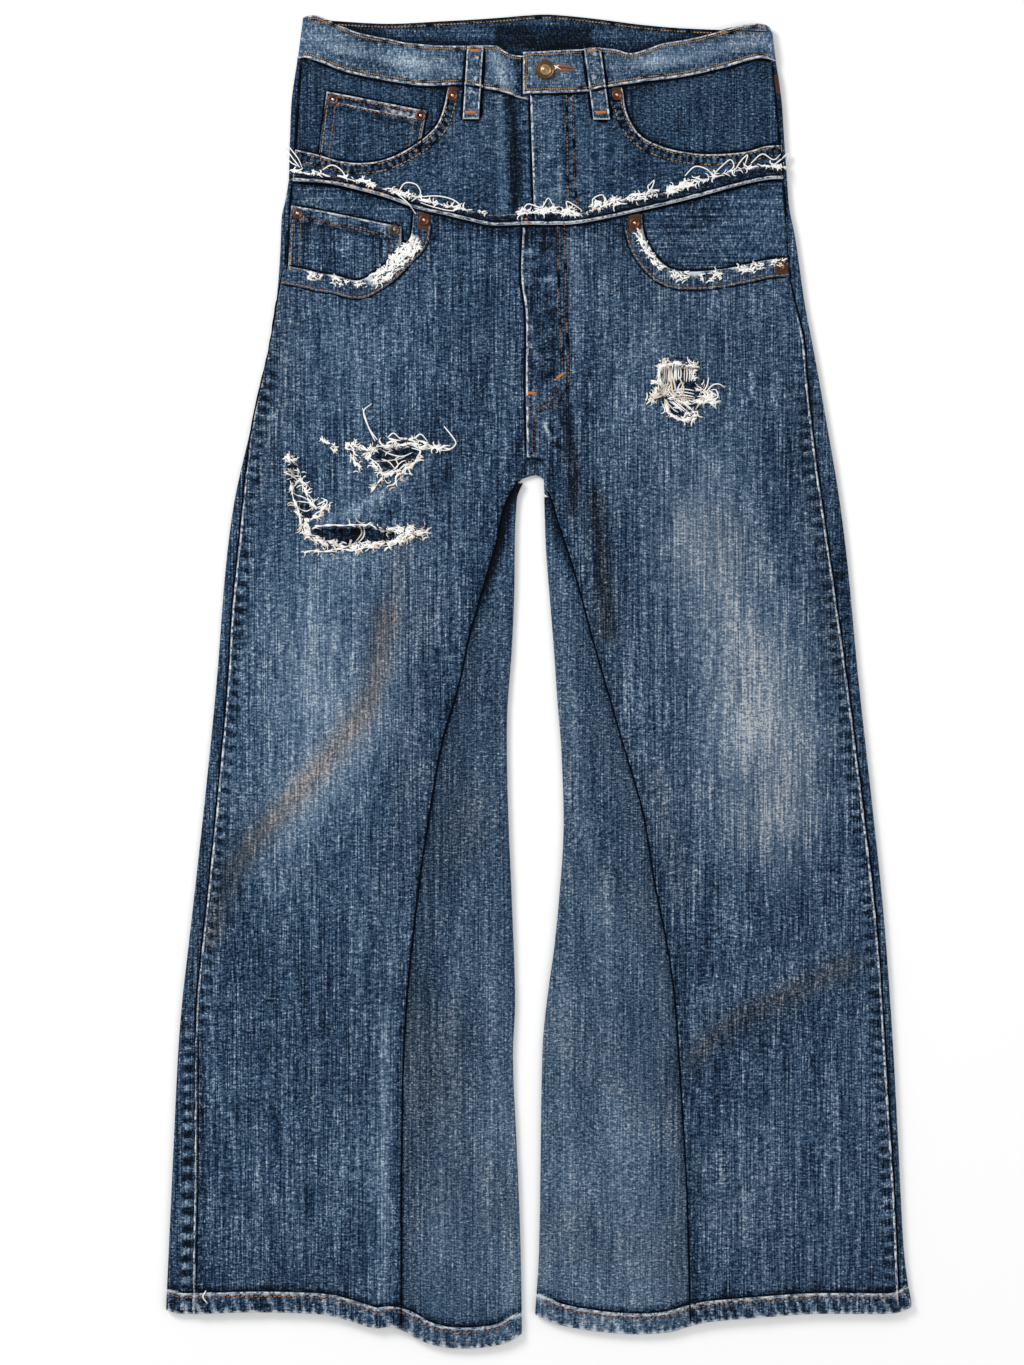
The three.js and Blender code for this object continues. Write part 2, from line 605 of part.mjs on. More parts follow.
// ---------------------------------------------------------------- button and rivets
// A turned piece: [radius, height] points from the axis round and back to it.
function turned(profile, sides, at) {
  const geometry = new THREE.LatheGeometry(profile.map(([r, z]) => new THREE.Vector2(r, z)), sides);
  geometry.rotateX(Math.PI / 2).translate(...at);
  const bare = new THREE.BufferGeometry();
  bare.setAttribute("position", geometry.getAttribute("position"));
  bare.setIndex(geometry.getIndex());
  return facingOut(mergeVertices(bare, 1e-4));
}

const buttonFoot = BAND_FRONT + BAND + (BAND + GAP) + GAP;
const buttonProfile = [
  [0, 0], [5, 0], [8.1, 0.9], [8.5, 1.7], [7.9, 2.5], [6.6, 2.7], [5.6, 2.1], [4.2, 2.2],
  [3.4, 2.7], [0, 2.9],
];
add("waist_button", turned(buttonProfile, 20, [5.2, 536.5, buttonFoot]), BRASS, 1);

const overFront = FRONT + CLOTH + GAP;
const rivets = {
  rivet_coin_upper_outer: [-181, 511, overFront],
  rivet_coin_upper_inner: [-104, 497, overFront],
  rivet_upper_right: [-76, 514.5, overFront + 0.5],
  rivet_upper_left: [68.5, 515, overFront],
  rivet_coin_outer: [-212, 411, overFront],
  rivet_coin_inner: [-127, 396.7, overFront],
  rivet_right: [-101, 405, overFront + LAYER],
  rivet_left: [84, 402.6, overFront],
  rivet_side_left: [211.5, 365, overFront],
};
const rivetProfile = [[0, 0], [3.6, 0], [4.4, 0.5], [3.9, 0.9], [2.0, 0.8], [1.4, 1.3], [0, 1.5]];
for (const [name, at] of Object.entries(rivets)) {
  add(name, turned(rivetProfile, 10, at), COPPER, 1);
}

export default jeans;
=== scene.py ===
# %% [markdown]
# # A pair of ripped, reworked jeans, laid flat
# This notebook dresses a pair of wide flared jeans that a maker has cut up and sewn together
# again: the waist of one pair stands inside the cut top of another, and a wedge of paler
# denim, a godet, widens each leg. The frame that it loads holds the plain solids of every
# piece of cloth. Each piece is made again here as a fine shell on its solid's form, with
# creases, puckers, hems, stitches, rips and frayed threads.
# Lengths are in millimetres until a mesh is made, and metres after that.

import math
import random

import bpy
import numpy as np
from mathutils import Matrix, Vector
from mathutils.bvhtree import BVHTree
from mathutils.geometry import delaunay_2d_cdt
from mathutils.kdtree import KDTree


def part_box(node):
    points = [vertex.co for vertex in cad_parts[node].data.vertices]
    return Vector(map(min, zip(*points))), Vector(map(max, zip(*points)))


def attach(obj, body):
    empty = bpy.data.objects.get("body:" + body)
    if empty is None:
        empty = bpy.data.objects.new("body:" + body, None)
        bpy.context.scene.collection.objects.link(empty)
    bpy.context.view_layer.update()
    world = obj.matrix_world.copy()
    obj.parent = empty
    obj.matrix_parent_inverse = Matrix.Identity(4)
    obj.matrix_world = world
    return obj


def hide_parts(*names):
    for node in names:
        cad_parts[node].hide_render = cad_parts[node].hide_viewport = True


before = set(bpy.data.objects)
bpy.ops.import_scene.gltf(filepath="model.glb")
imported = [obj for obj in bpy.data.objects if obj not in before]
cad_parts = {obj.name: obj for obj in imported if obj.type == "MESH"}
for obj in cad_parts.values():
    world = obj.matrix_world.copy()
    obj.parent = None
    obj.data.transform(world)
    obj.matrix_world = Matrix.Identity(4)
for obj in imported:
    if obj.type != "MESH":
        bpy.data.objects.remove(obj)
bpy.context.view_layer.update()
MM = 0.001
print("the frame holds", len(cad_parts), "pieces of cloth and metal")

# %% [markdown]
# ## Camera, light and floor
# The garment is seen from straight above, like a pattern on a cutting table. A long lens far
# up keeps its sides parallel. A broad soft light from the upper left rakes over the cloth so
# that creases show. A weaker one from the lower right and a white sky fill the shadows.

# %% Camera
camera_data = bpy.data.cameras.new("camera")
camera = bpy.data.objects.new("camera", camera_data)
bpy.context.scene.collection.objects.link(camera)
bpy.context.scene.camera = camera
CAMERA_HEIGHT = 3.0
FRAME_HEIGHT = 1.2012  # how much of the floor the picture is high
camera_data.sensor_fit = "VERTICAL"
camera_data.sensor_height = 36.0
camera_data.lens = camera_data.sensor_height * CAMERA_HEIGHT / FRAME_HEIGHT
UNDER_THE_LENS = (-0.0238, -0.0009)  # the garment lies a little to one side of it
camera.location = (*UNDER_THE_LENS, CAMERA_HEIGHT)
print("lens", round(camera_data.lens, 1), "mm")


# %% Light
def area_light(name, place, size, power):
    data = bpy.data.lights.new(name, "AREA")
    data.size = size
    data.energy = power
    light = bpy.data.objects.new(name, data)
    light.location = place
    light.rotation_euler = (-Vector(place)).to_track_quat("-Z", "Y").to_euler()
    bpy.context.scene.collection.objects.link(light)


area_light("key", (-1.9, 1.7, 1.7), 1.1, 62)
area_light("fill", (2.0, -1.0, 2.2), 2.0, 18)
SKY = 0.62
world = bpy.data.worlds.new("white studio")
bpy.context.scene.world = world
world.use_nodes = True
world.node_tree.nodes["Background"].inputs["Color"].default_value = (1, 1, 1, 1)
world.node_tree.nodes["Background"].inputs["Strength"].default_value = SKY
bpy.context.scene.view_settings.view_transform = "Standard"


# %% Colours and the one helper that adds a node
def linear(hex_colour):
    """A linear RGBA colour from an sRGB hex value such as "#3A5068"."""
    parts = [int(hex_colour[i : i + 2], 16) / 255 for i in (1, 3, 5)]
    return [c / 12.92 if c <= 0.04045 else ((c + 0.055) / 1.055) ** 2.4 for c in parts] + [1.0]


def add_node(tree, kind, links=None, **settings):
    """Adds a node. settings are its own values, links maps a socket to a value or an output."""
    node = tree.nodes.new(kind)
    for name, value in settings.items():
        setattr(node, name, value)
    for socket, source in (links or {}).items():
        if isinstance(source, bpy.types.NodeSocket):
            tree.links.new(source, node.inputs[socket])
        else:
            node.inputs[socket].default_value = source
    return node


def new_material(name, roughness, metallic=0.0):
    """A material with only its shader in it. Returns the material, its tree and the shader."""
    material = bpy.data.materials.new(name)
    material.use_nodes = True
    shader = material.node_tree.nodes["Principled BSDF"]
    shader.inputs["Roughness"].default_value = roughness
    shader.inputs["Metallic"].default_value = metallic
    return material, material.node_tree, shader


# %% Floor
floor_material, _, floor_shader = new_material("matt white paper", 0.9)
floor_shader.inputs["Base Color"].default_value = linear("#FDFDFD")
floor_shader.inputs["Specular IOR Level"].default_value = 0.0
floor_mesh = bpy.data.meshes.new("floor")
REACH = 6.0
FLOOR_UNDER = -0.0004  # just under the cloth, so that the two never share a plane
square = ((-REACH, -REACH), (REACH, -REACH), (REACH, REACH), (-REACH, REACH))
corners = [(x, y, FLOOR_UNDER) for x, y in square]
floor_mesh.from_pydata(corners, [], [(0, 1, 2, 3)])
floor = bpy.data.objects.new("floor", floor_mesh)
floor.data.materials.append(floor_material)
bpy.context.scene.collection.objects.link(floor)

# %% [markdown]
# ## Curves
# A pattern cutter draws a seam as one smooth line through a few measured points. `through`
# does the same: a curve read as a function, such as x at a height y. `path` is a curve that
# may turn back on itself, such as a pocket opening. `Line` measures how far points are from a
# line and how far along it, all at once with numpy, which every crease, pucker and worn edge
# below is placed with.


# %% Curves through measured points
def smooth(start, end, at):
    t = np.clip((np.asarray(at, float) - start) / (end - start), 0, 1)
    return t * t * (3 - 2 * t)


def mix(a, b, t):
    return a + (b - a) * t


def bell(distance, wide):
    """1 at no distance, fading smoothly to a third at that width."""
    return np.exp(-((distance / wide) ** 2))


def points_of(*coordinates):
    """Points from a list of their x, a list of their y, and so on."""
    return np.stack(coordinates, axis=1)


def lengths_to(points):
    """The length of a line up to each of its points."""
    return np.r_[0, np.cumsum(np.linalg.norm(np.diff(points, axis=0), axis=1))]


def through(*pairs):
    places, values = np.array(pairs, float).T
    before = np.maximum(np.arange(len(places)) - 1, 0)
    after = np.minimum(np.arange(len(places)) + 1, len(places) - 1)
    slopes = (values[after] - values[before]) / (places[after] - places[before])

    def read(place):
        at = np.clip(np.asarray(place, float), places[0], places[-1])
        i = np.clip(np.searchsorted(places, at, side="right") - 1, 0, len(places) - 2)
        width = places[i + 1] - places[i]
        t = (at - places[i]) / width
        return (
            (2 * t**3 - 3 * t**2 + 1) * values[i]
            + (t**3 - 2 * t**2 + t) * width * slopes[i]
            + (3 * t**2 - 2 * t**3) * values[i + 1]
            + (t**3 - t**2) * width * slopes[i + 1]
        )

    return read


def path(points, step=2.5):
    """Points every step along a smooth curve through the points, which may have x, y or x, y, z."""
    points = np.array(points, float)
    lengths = np.r_[0, np.cumsum(np.maximum(np.linalg.norm(np.diff(points, axis=0), axis=1), 1e-6))]
    count = max(int(lengths[-1] / step), 2)
    at = np.linspace(0, lengths[-1], count + 1)
    return points_of(*[through(*zip(lengths, column))(at) for column in points.T])


class Line:
    """A line of points to measure from."""

    def __init__(self, points, step=2.5):
        self.points = path(points, step) if len(points) < 60 else np.array(points, float)
        self.along = lengths_to(self.points)
        self.tree = KDTree(len(self.points))
        for i, (x, y) in enumerate(self.points[:, :2]):
            self.tree.insert((x, y, 0), i)
        self.tree.balance()

    def measure(self, x, y):
        """For each point its distance from the line, and the length of line up to there."""
        spots = points_of(np.ravel(x), np.ravel(y))
        nearest = np.array([self.tree.find((a, b, 0))[1] for a, b in spots])
        best = np.full(len(spots), 1e9)
        along = np.zeros(len(spots))
        for offset in (-1, 0):
            i = np.clip(nearest + offset, 0, len(self.points) - 2)
            a, b = self.points[i, :2], self.points[i + 1, :2]
            ab = b - a
            t = np.clip(((spots - a) * ab).sum(1) / np.maximum((ab**2).sum(1), 1e-9), 0, 1)
            distance = np.linalg.norm(spots - a - ab * t[:, None], axis=1)
            closer = distance < best
            best = np.where(closer, distance, best)
            along = np.where(closer, mix(self.along[i], self.along[i + 1], t), along)
        return best, along


print("a curve through three points reads", float(through((0, 0), (1, 1), (2, 4))(1.5)))

# %% [markdown]
# ## The shape of the garment
# These are the seams and edges of the pattern as the garment lies: x across, to the wearer's
# left, and y up to the waist. The layers are stacked in z as the cloth really lies, one cloth
# and one gap apart. The frame's own boxes are printed beside them as a check.

# %% Seams of the legs, as x at a height y
RIGHT, LEFT = -1, 1
outer = {
    RIGHT: through(
        (-560, -328), (-400, -321), (-300, -315.5), (-200, -304.5), (-100, -293.5), (0, -283.5),
        (100, -275.5), (160, -267.5), (220, -254), (290, -238), (336, -230.5), (365, -227.5),
        (400, -226), (415, -224), (441, -220),
    ),
    LEFT: through(
        (-560, 328), (-535, 324), (-500, 320.5), (-400, 315.5), (-300, 310), (-200, 302.5),
        (-100, 292), (0, 281), (100, 271.5), (160, 264), (220, 254), (290, 241.5), (336, 232.5),
        (365, 227), (400, 221), (441, 218),
    ),
}
outseam = {
    RIGHT: through(
        (-560, -304), (-450, -302), (-300, -301), (-265, -299), (-190, -291), (-100, -282),
        (0, -273), (60, -269.5), (125, -263), (186, -257), (230, -250.5), (290, -237),
        (336, -229), (365, -224),
    ),
    LEFT: through(
        (-560, 316), (-456, 312), (-368, 306.5), (-280, 301), (-192, 294), (-104, 283.5),
        (-16, 272.5), (54, 263), (142, 250.5), (195, 243), (265, 235), (301, 232), (345, 221.5),
        (372, 218.5),
    ),
}
godet_seam = {
    RIGHT: through(
        (-570, -122), (-368, -121), (-280, -117), (-192, -108), (-119, -97.5), (-54, -86),
        (0, -70.5), (38, -62.5), (70, -53.5), (98, -45.5), (123, -38), (157, -30), (186, -13),
    ),
    LEFT: through(
        (-570, 134), (-456, 131), (-368, 126), (-280, 120), (-236, 114), (-175, 102),
        (-113, 91.5), (-50, 73), (-12, 62), (42, 46.5), (76, 37.5), (110, 27.5), (141, 17),
        (164, 9.5), (186, -7),
    ),
}
inner = {
    RIGHT: through(
        (-575, -15), (-500, -16), (-412, -19.5), (-330, -23), (-280, -21), (-192, -24),
        (-104, -27.5), (-30, -28), (28, -24), (72, -22), (160, -19.5), (179, -12),
    ),
    LEFT: through(
        (-560, -3.5), (-500, 0), (-324, 3), (-280, 7), (-236, 13), (-192, 17.5), (-130, 21.5),
        (-60, 19.5), (-16, 16), (28, 13), (72, 9.5), (116, 6), (179, 4),
    ),
}
hem = {
    RIGHT: through(
        (-328, -552), (-316, -555.5), (-250, -554), (-190, -556), (-168, -561), (-145, -568),
        (-130, -567), (-118, -571), (-104, -579), (-85, -584.5), (-65, -586), (-45, -584.5),
        (-28, -580.5), (-15, -573),
    ),
    LEFT: through(
        (-3.5, -556), (14, -564), (40, -569.5), (66, -572.5), (90, -573.5), (115, -571.5),
        (131, -567), (146, -563), (190, -559), (240, -555.5), (300, -555.5), (318, -554),
        (328, -549),
    ),
}
HEM_LINE = -560
HEM_REACH = 130
CROTCH = 197
CENTRE_BACK = -3
GODET_TOP = {RIGHT: 174, LEFT: 162}

# %% Edges of the two waists, as y at x, and the two flies, as x at y
ridge = through(
    (-220, 440), (-185, 437.5), (-157, 431.5), (-132, 424.5), (-106, 415), (-80, 409.5),
    (-63, 405.5), (-42, 401), (-16, 401.5), (27, 401.7), (46, 404.5), (68, 409), (90, 414),
    (118, 420.5), (145, 427.5), (172, 435), (199, 441), (218, 442),
)
raw_edge = through(
    (-218, 448), (-181, 444), (-157, 439), (-132, 431.5), (-98, 421), (-66, 414.5),
    (-40, 409.5), (-16, 411), (9, 412), (37, 411), (60, 418), (91, 425), (115, 430),
    (136, 437), (163, 446), (197, 452), (217, 451),
)
fly_lower = through((CROTCH, -10.5), (255, -11.5), (322, -11.5), (355, -15.5), (401, -14))
fly_upper = through((402, -4), (460, -6), (520, -8))
FLY_LAP = 8
band_top = {
    RIGHT: through(
        (-207.5, 583), (-198, 585), (-188, 582), (-176, 576), (-157, 569), (-132, 564),
        (-115, 560.5), (-80, 558), (-38, 558), (-30, 553), (-21, 550), (-9, 549),
    ),
    LEFT: through(
        (-15, 552), (10, 553), (37, 555), (55, 556), (66, 555), (80, 551.5), (91, 554),
        (109, 560), (136, 564.7), (163, 572), (183, 577), (199, 576.5), (205, 571),
    ),
}
band_bottom = {
    RIGHT: through(
        (-212, 547.5), (-205, 548), (-192, 544), (-171, 536), (-150, 531), (-122, 526),
        (-101, 523.5), (-66, 524), (-45, 520.5), (-32, 518), (-20, 513.5), (-9, 511),
    ),
    LEFT: through(
        (-15, 516), (20, 517), (43, 518.3), (59, 522), (91, 527), (127, 531.5), (163, 539.5),
        (185, 546), (197, 547.7), (208, 545),
    ),
}
back_band_top = through(
    (-207.5, 583), (-180, 580.5), (-132, 578), (-80, 580.5), (-45, 582.5), (0, 586), (18, 585.5),
    (52, 582), (91, 577), (127, 574), (205, 571),
)
back_band_bottom = through((-212, 547.5), (0, 550), (208, 545))
side_seam = {
    ("upper", RIGHT): through((440, -216), (545, -208.5)),
    ("upper", LEFT): through((440, 213.5), (545, 204)),
    ("lower", RIGHT): through((350, -223.5), (440, -216.3)),
    ("lower", LEFT): through((355, 220), (441, 213.7)),
}

# %% Pocket openings, from the side seam up to the waist
scoop = {
    ("upper", RIGHT): path([
        (-214, 467), (-193, 462), (-176, 457), (-157, 455), (-136, 458), (-115, 467.5),
        (-98, 479.5), (-89, 490), (-84, 503), (-80, 521),
    ]),
    ("upper", LEFT): path([
        (213, 471), (199, 470), (181, 465), (145, 463), (122, 466), (106, 470.5), (91, 478),
        (82, 488.5), (76, 503), (73, 522),
    ]),
    ("lower", RIGHT): path([
        (-224, 365), (-207, 362), (-193, 358.5), (-179, 356.5), (-159, 352), (-143, 360),
        (-132, 369), (-122, 380), (-113, 390), (-110, 414),
    ]),
    ("lower", LEFT): path([
        (218, 372), (199, 370), (181, 366), (160, 362), (136, 360), (118, 361.5), (107, 368.5),
        (98.5, 379), (92, 393), (90, 412),
    ]),
}

# %% The layers, from the floor up
CLOTH = 1.2
GAP = 0.3
LAYER = CLOTH + GAP
BAND = 2.4
SEAT = LAYER
FOLD_TOP = 4.8
FRONT = FOLD_TOP + GAP
BAND_FRONT = SEAT + BAND + 0.6
LOOP_UNDER = 7.7
for node in ("front_right", "godet_left", "waistband", "belt_loop_right"):
    low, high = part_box(node)
    print(node, "lies from", round(low.z / MM, 1), "to", round(high.z / MM, 1), "mm up")


def hem_warp(side, x, y):
    """How far the hem's curve moves a point of a leg along y."""
    return (hem[side](x) - HEM_LINE) * smooth(HEM_LINE + HEM_REACH, HEM_LINE, y)


def back_under(y):
    return SEAT * smooth(60, 150, y)

# %% [markdown]
# ## Creases
# A laid garment keeps the soft creases of its wearer: fans at the crotch, a long break across
# each calf, bars where the knee bent. Each is a ridge (height above 0) or a trough (below 0)
# along a short line, with the width at which it has faded to a third. The tone is partly wear
# and partly painted light: a ridge is rubbed and painted paler, and a trough is painted darker
# as shade, so a crease gives a height and a tone.

# %% Creases of the legs
KNEE_FOLD = [(-135, 54), (-149, -16), (-210, -95), (-263, -157), (-290, -225)]
CREASES = {
    RIGHT: [
        (KNEE_FOLD, 20, -1.0),
        ([(-118, 60), (-128, -10), (-184, -88), (-240, -150), (-282, -240)], 26, 2.0),
        ([(-180, 133), (-140, 158), (-94, 190)], 7, 1.6),
        ([(-200, 112), (-150, 112), (-104, 116)], 10, 1.2),
        ([(-16, 214), (-60, 222), (-118, 246)], 8, 0.9),
        ([(-18, 236), (-70, 262), (-110, 300)], 9, 0.8),
        ([(-24, 196), (-60, 186), (-95, 150)], 8, 0.9),
        ([(-40, 160), (-70, 100), (-86, 20)], 12, 0.9),
        ([(-246, 230), (-200, 236), (-160, 250)], 10, 0.7),
        ([(-225, 300), (-190, 296), (-150, 306)], 10, 0.6),
        ([(-262, 40), (-210, 34), (-160, 44)], 12, 0.7),
        ([(-268, -20), (-220, -30), (-190, -24)], 11, 0.7),
        ([(-160, -180), (-150, -300), (-156, -430), (-150, -540)], 20, 1.0),
        ([(-220, -260), (-226, -380), (-214, -500)], 24, 0.9),
        ([(-270, -330), (-276, -430), (-262, -530)], 16, 0.8),
    ],
    LEFT: [
        ([(130, -342), (168, -306), (274, -252)], 16, -0.9),
        ([(126, -300), (176, -270), (280, -226)], 22, 1.6),
        ([(12, 214), (60, 224), (112, 250)], 8, 0.9),
        ([(14, 238), (66, 268), (96, 300)], 9, 0.8),
        ([(18, 196), (56, 180), (92, 140)], 8, 0.9),
        ([(30, 160), (58, 90), (76, 10)], 12, 0.9),
        ([(232, 250), (190, 244), (150, 256)], 10, 0.7),
        ([(214, 320), (180, 316), (140, 326)], 10, 0.6),
        ([(262, 30), (216, 22), (150, 36)], 14, 0.8),
        ([(268, -40), (220, -50), (160, -38)], 14, 0.8),
        ([(276, -110), (230, -124), (180, -112)], 14, 0.7),
        ([(160, -180), (168, -240)], 20, 0.8),
        ([(180, -360), (176, -460), (184, -545)], 20, 0.9),
        ([(250, -330), (258, -430), (250, -540)], 22, 0.9),
    ],
}
BROAD_FOLDS = [
    ([(-118, 110), (-150, -20), (-212, -130), (-285, -225)], 34, 2.2),
    ([(-250, 90), (-245, -60), (-268, -200)], 30, 1.2),
    ([(140, -335), (185, -290), (285, -250)], 34, 2.0),
    ([(60, 150), (110, 0), (165, -150)], 40, 1.4),
    ([(215, 60), (225, -120), (240, -250)], 45, 1.6),
]


def creased(creases, x, y):
    """The height that a list of creases gives at each point."""
    height = np.zeros(len(x))
    for line, wide, high in creases:
        crease = Line(line, 8)
        distance, along = crease.measure(x, y)
        length = crease.along[-1]
        ends = smooth(0, 0.25 * length, along) * smooth(length, 0.75 * length, along)
        height += high * bell(distance, wide) * mix(0.25, 1.0, ends)
    return height


def wander(x, y, size, seed):
    """A slow irregular wave between about -1 and 1, with bumps about size across."""
    turns = random.Random(seed)
    total = np.zeros(len(x))
    for _ in range(6):
        angle, phase = turns.uniform(0, math.tau), turns.uniform(0, math.tau)
        wave = math.tau / (size * turns.uniform(1.4, 3.2))
        total += np.sin((x * math.cos(angle) + y * math.sin(angle)) * wave + phase)
    return total / 2.5


def blots(x, y, size, seed):
    """The upper halves of that wave: soft spots with nothing between them."""
    return np.clip(wander(x, y, size, seed), 0, 1)


def puckers(line, x, y, period, reach, start=0.0):
    """Bumps along a seam where its stitching drew the cloth in: -1 to 1, fading over reach."""
    distance, along = line.measure(x, y)
    phase = along / period + 0.35 * np.sin(along / 31) + 0.22 * np.sin(along / 83 + 1)
    near = smooth(reach, reach * 0.35, np.abs(distance - start))
    return np.sin(math.tau * phase) * near

# %% [markdown]
# ## Cutting cloth
# A flat piece of cloth is an outline filled with small triangles. Delaunay triangulation fills
# any outline, rips included, and a finer mesh along the edges carries hems and seams. The
# Solidify modifier then gives the shell its thickness. Tones are stored on the points, and the
# denim reads them: `wash` lightens or darkens the indigo, for fading and for painted
# light and shade, `worn` shows the white core of the yarns, and `dirt` is the brown
# of old use and of some painted shade.


# %% Fill an outline with points
def inside(outline, x, y):
    """Whether each point lies in the closed outline, by counting the edges to its right."""
    outline = np.array(outline)
    result = np.zeros(len(x), bool)
    for (ax, ay), (bx, by) in zip(outline, np.roll(outline, -1, axis=0)):
        if ay != by:
            crosses = (ay > y) != (by > y)
            result ^= crosses & (x < (bx - ax) * (y - ay) / (by - ay) + ax)
    return result


def closed(outline):
    return np.vstack([outline, outline[:1]])


def straight_sides(corners, step):
    """Points every step round a shape with straight sides."""
    return np.vstack([path([a, b], step)[:-1] for a, b in zip(corners, corners[1:] + corners[:1])])


def grid_faces(rows, columns):
    """The four-sided faces of a grid whose points are numbered row after row."""
    i = np.arange(rows * columns).reshape(rows, columns)
    return np.stack([i[:-1, :-1], i[:-1, 1:], i[1:, 1:], i[1:, :-1]], axis=-1).reshape(-1, 4)


def ring_faces(index):
    """The faces between closed rings of points, whose numbers are the rows of index."""
    after = np.roll(index, -1, axis=1)
    return np.stack([index[:-1], index[1:], after[1:], after[:-1]], axis=-1).reshape(-1, 4).tolist()


def ring_points(loop, depths, keep_inside):
    """Points at each depth from a loop, on the side that keep_inside says."""
    ahead = np.roll(loop, -1, axis=0) - np.roll(loop, 1, axis=0)
    normal = points_of(-ahead[:, 1], ahead[:, 0])
    normal /= np.maximum(np.linalg.norm(normal, axis=1), 1e-9)[:, None]
    found = []
    for depth in depths:
        for sign in (-1, 1):
            points = loop + normal * depth * sign
            points = points[inside(loop, points[:, 0], points[:, 1]) == keep_inside]
            if len(points):
                distance, _ = Line(closed(loop), 0).measure(points[:, 0], points[:, 1])
                found.append(points[distance > 0.85 * depth])
    return np.vstack(found)


RINGS = (1.1, 2.3, 5.0, 8.5, 12.0, 14.6, 16.2, 17.6, 19.2, 21.0)  # from an edge, with its hem
HOLE_RINGS = (1.2, 2.6)
ROWS_APART = 0.87  # rows of equal triangles are this share of their side apart


def fill(outline, holes, step, rings, fine=None):
    """The points and triangles of a cloth. fine is a line, a reach and a closer step beside it."""
    outline, holes = np.array(outline), [np.array(h) for h in holes]
    x0, y0 = outline.min(0)
    x1, y1 = outline.max(0)
    rows = np.arange(y0, y1, step * ROWS_APART)
    grid = np.array([
        (x + step / 2 * (j % 2), y) for j, y in enumerate(rows) for x in np.arange(x0, x1, step)
    ])
    if fine:
        beside_line, reach, small = fine
        beside_line = Line(beside_line)
        grid = grid[beside_line.measure(*grid.T)[0] > reach]
        (fx, fy), (gx, gy) = beside_line.points.min(0) - reach, beside_line.points.max(0) + reach
        dense = np.array([
            (x + small / 2 * (j % 2), y)
            for j, y in enumerate(np.arange(fy, gy, small * ROWS_APART))
            for x in np.arange(fx, gx, small)
        ])
        grid = np.vstack([grid, dense[beside_line.measure(*dense.T)[0] <= reach]])
    margin = (rings[-1] if rings else 0) + step * 0.5
    grid = grid[inside(outline, grid[:, 0], grid[:, 1])]
    grid = grid[Line(closed(outline), 0).measure(grid[:, 0], grid[:, 1])[0] > margin]
    extra = [ring_points(outline, rings, True)] if rings else []
    for hole in holes:
        distance, _ = Line(closed(hole), 0).measure(grid[:, 0], grid[:, 1])
        within = inside(hole, grid[:, 0], grid[:, 1])
        grid = grid[~within & (distance > HOLE_RINGS[-1] + step * 0.5)]
        extra.append(ring_points(hole, HOLE_RINGS, False))
    loops = [outline, *holes]
    edges, start = [], 0
    for loop in loops:
        edges += [(start + i, start + (i + 1) % len(loop)) for i in range(len(loop))]
        start += len(loop)
    points = np.vstack([*loops, *extra, grid])
    made = delaunay_2d_cdt([Vector(p) for p in points], edges, [], 1, 1e-4)
    xy = np.array([tuple(v) for v in made[0]])
    faces = np.array([f for f in made[2]])
    middles = xy[faces].mean(axis=1)
    keep = inside(outline, middles[:, 0], middles[:, 1])
    for hole in holes:
        keep &= ~inside(hole, middles[:, 0], middles[:, 1])
    faces = faces[keep]
    used = np.unique(faces)
    renumber = np.zeros(len(xy), int)
    renumber[used] = np.arange(len(used))
    return xy[used], renumber[faces]


def make_object(name, points, faces, material, marks=None, thickness=0.0, offset=-1.0):
    """A smooth mesh of points in millimetres, with its painted tones and its thickness."""
    mesh = bpy.data.meshes.new(name)
    mesh.from_pydata((np.array(points) * MM).tolist(), [], [list(map(int, f)) for f in faces])
    for mark, values in (marks or {}).items():
        layer = mesh.attributes.new(mark, "FLOAT", "POINT")
        layer.data.foreach_set("value", np.asarray(values, np.float32))
    mesh.shade_smooth()
    mesh.materials.append(material)
    made = bpy.data.objects.new(name, mesh)
    bpy.context.scene.collection.objects.link(made)
    if thickness:
        solidify = made.modifiers.new("cloth thickness", "SOLIDIFY")
        solidify.thickness = thickness * MM
        solidify.offset = offset
    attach(made, "root")
    return made


tops = []  # every cloth's outer face, so that stitches and threads can be laid on it


def flat_cloth(name, outline, height, tones, holes=(), step=3.2, rings=RINGS,
               thickness=CLOTH, material=None, fine=None):
    """A cloth that lies flat. height and tones are functions of x, y and distance to the edge."""
    xy, faces = fill(outline, holes, step, rings, fine)
    x, y = xy.T
    rim, _ = Line(closed(np.array(outline)), 0).measure(x, y)
    z = height(x, y, rim)
    points = points_of(x, y, z)
    a, b, c = points[faces[0]]
    if np.cross(b - a, c - a)[2] < 0:
        faces = faces[:, ::-1]
    cloth = make_object(name, points, faces, material or denim, tones(x, y, rim), thickness)
    finish_cloth(name, points, faces)
    return cloth


def finish_cloth(name, points, faces):
    """Keeps the cloth's top face for the threads, and hides the solid that it stands for."""
    faces = np.array(faces)
    tops.append((points, faces))
    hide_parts(name)
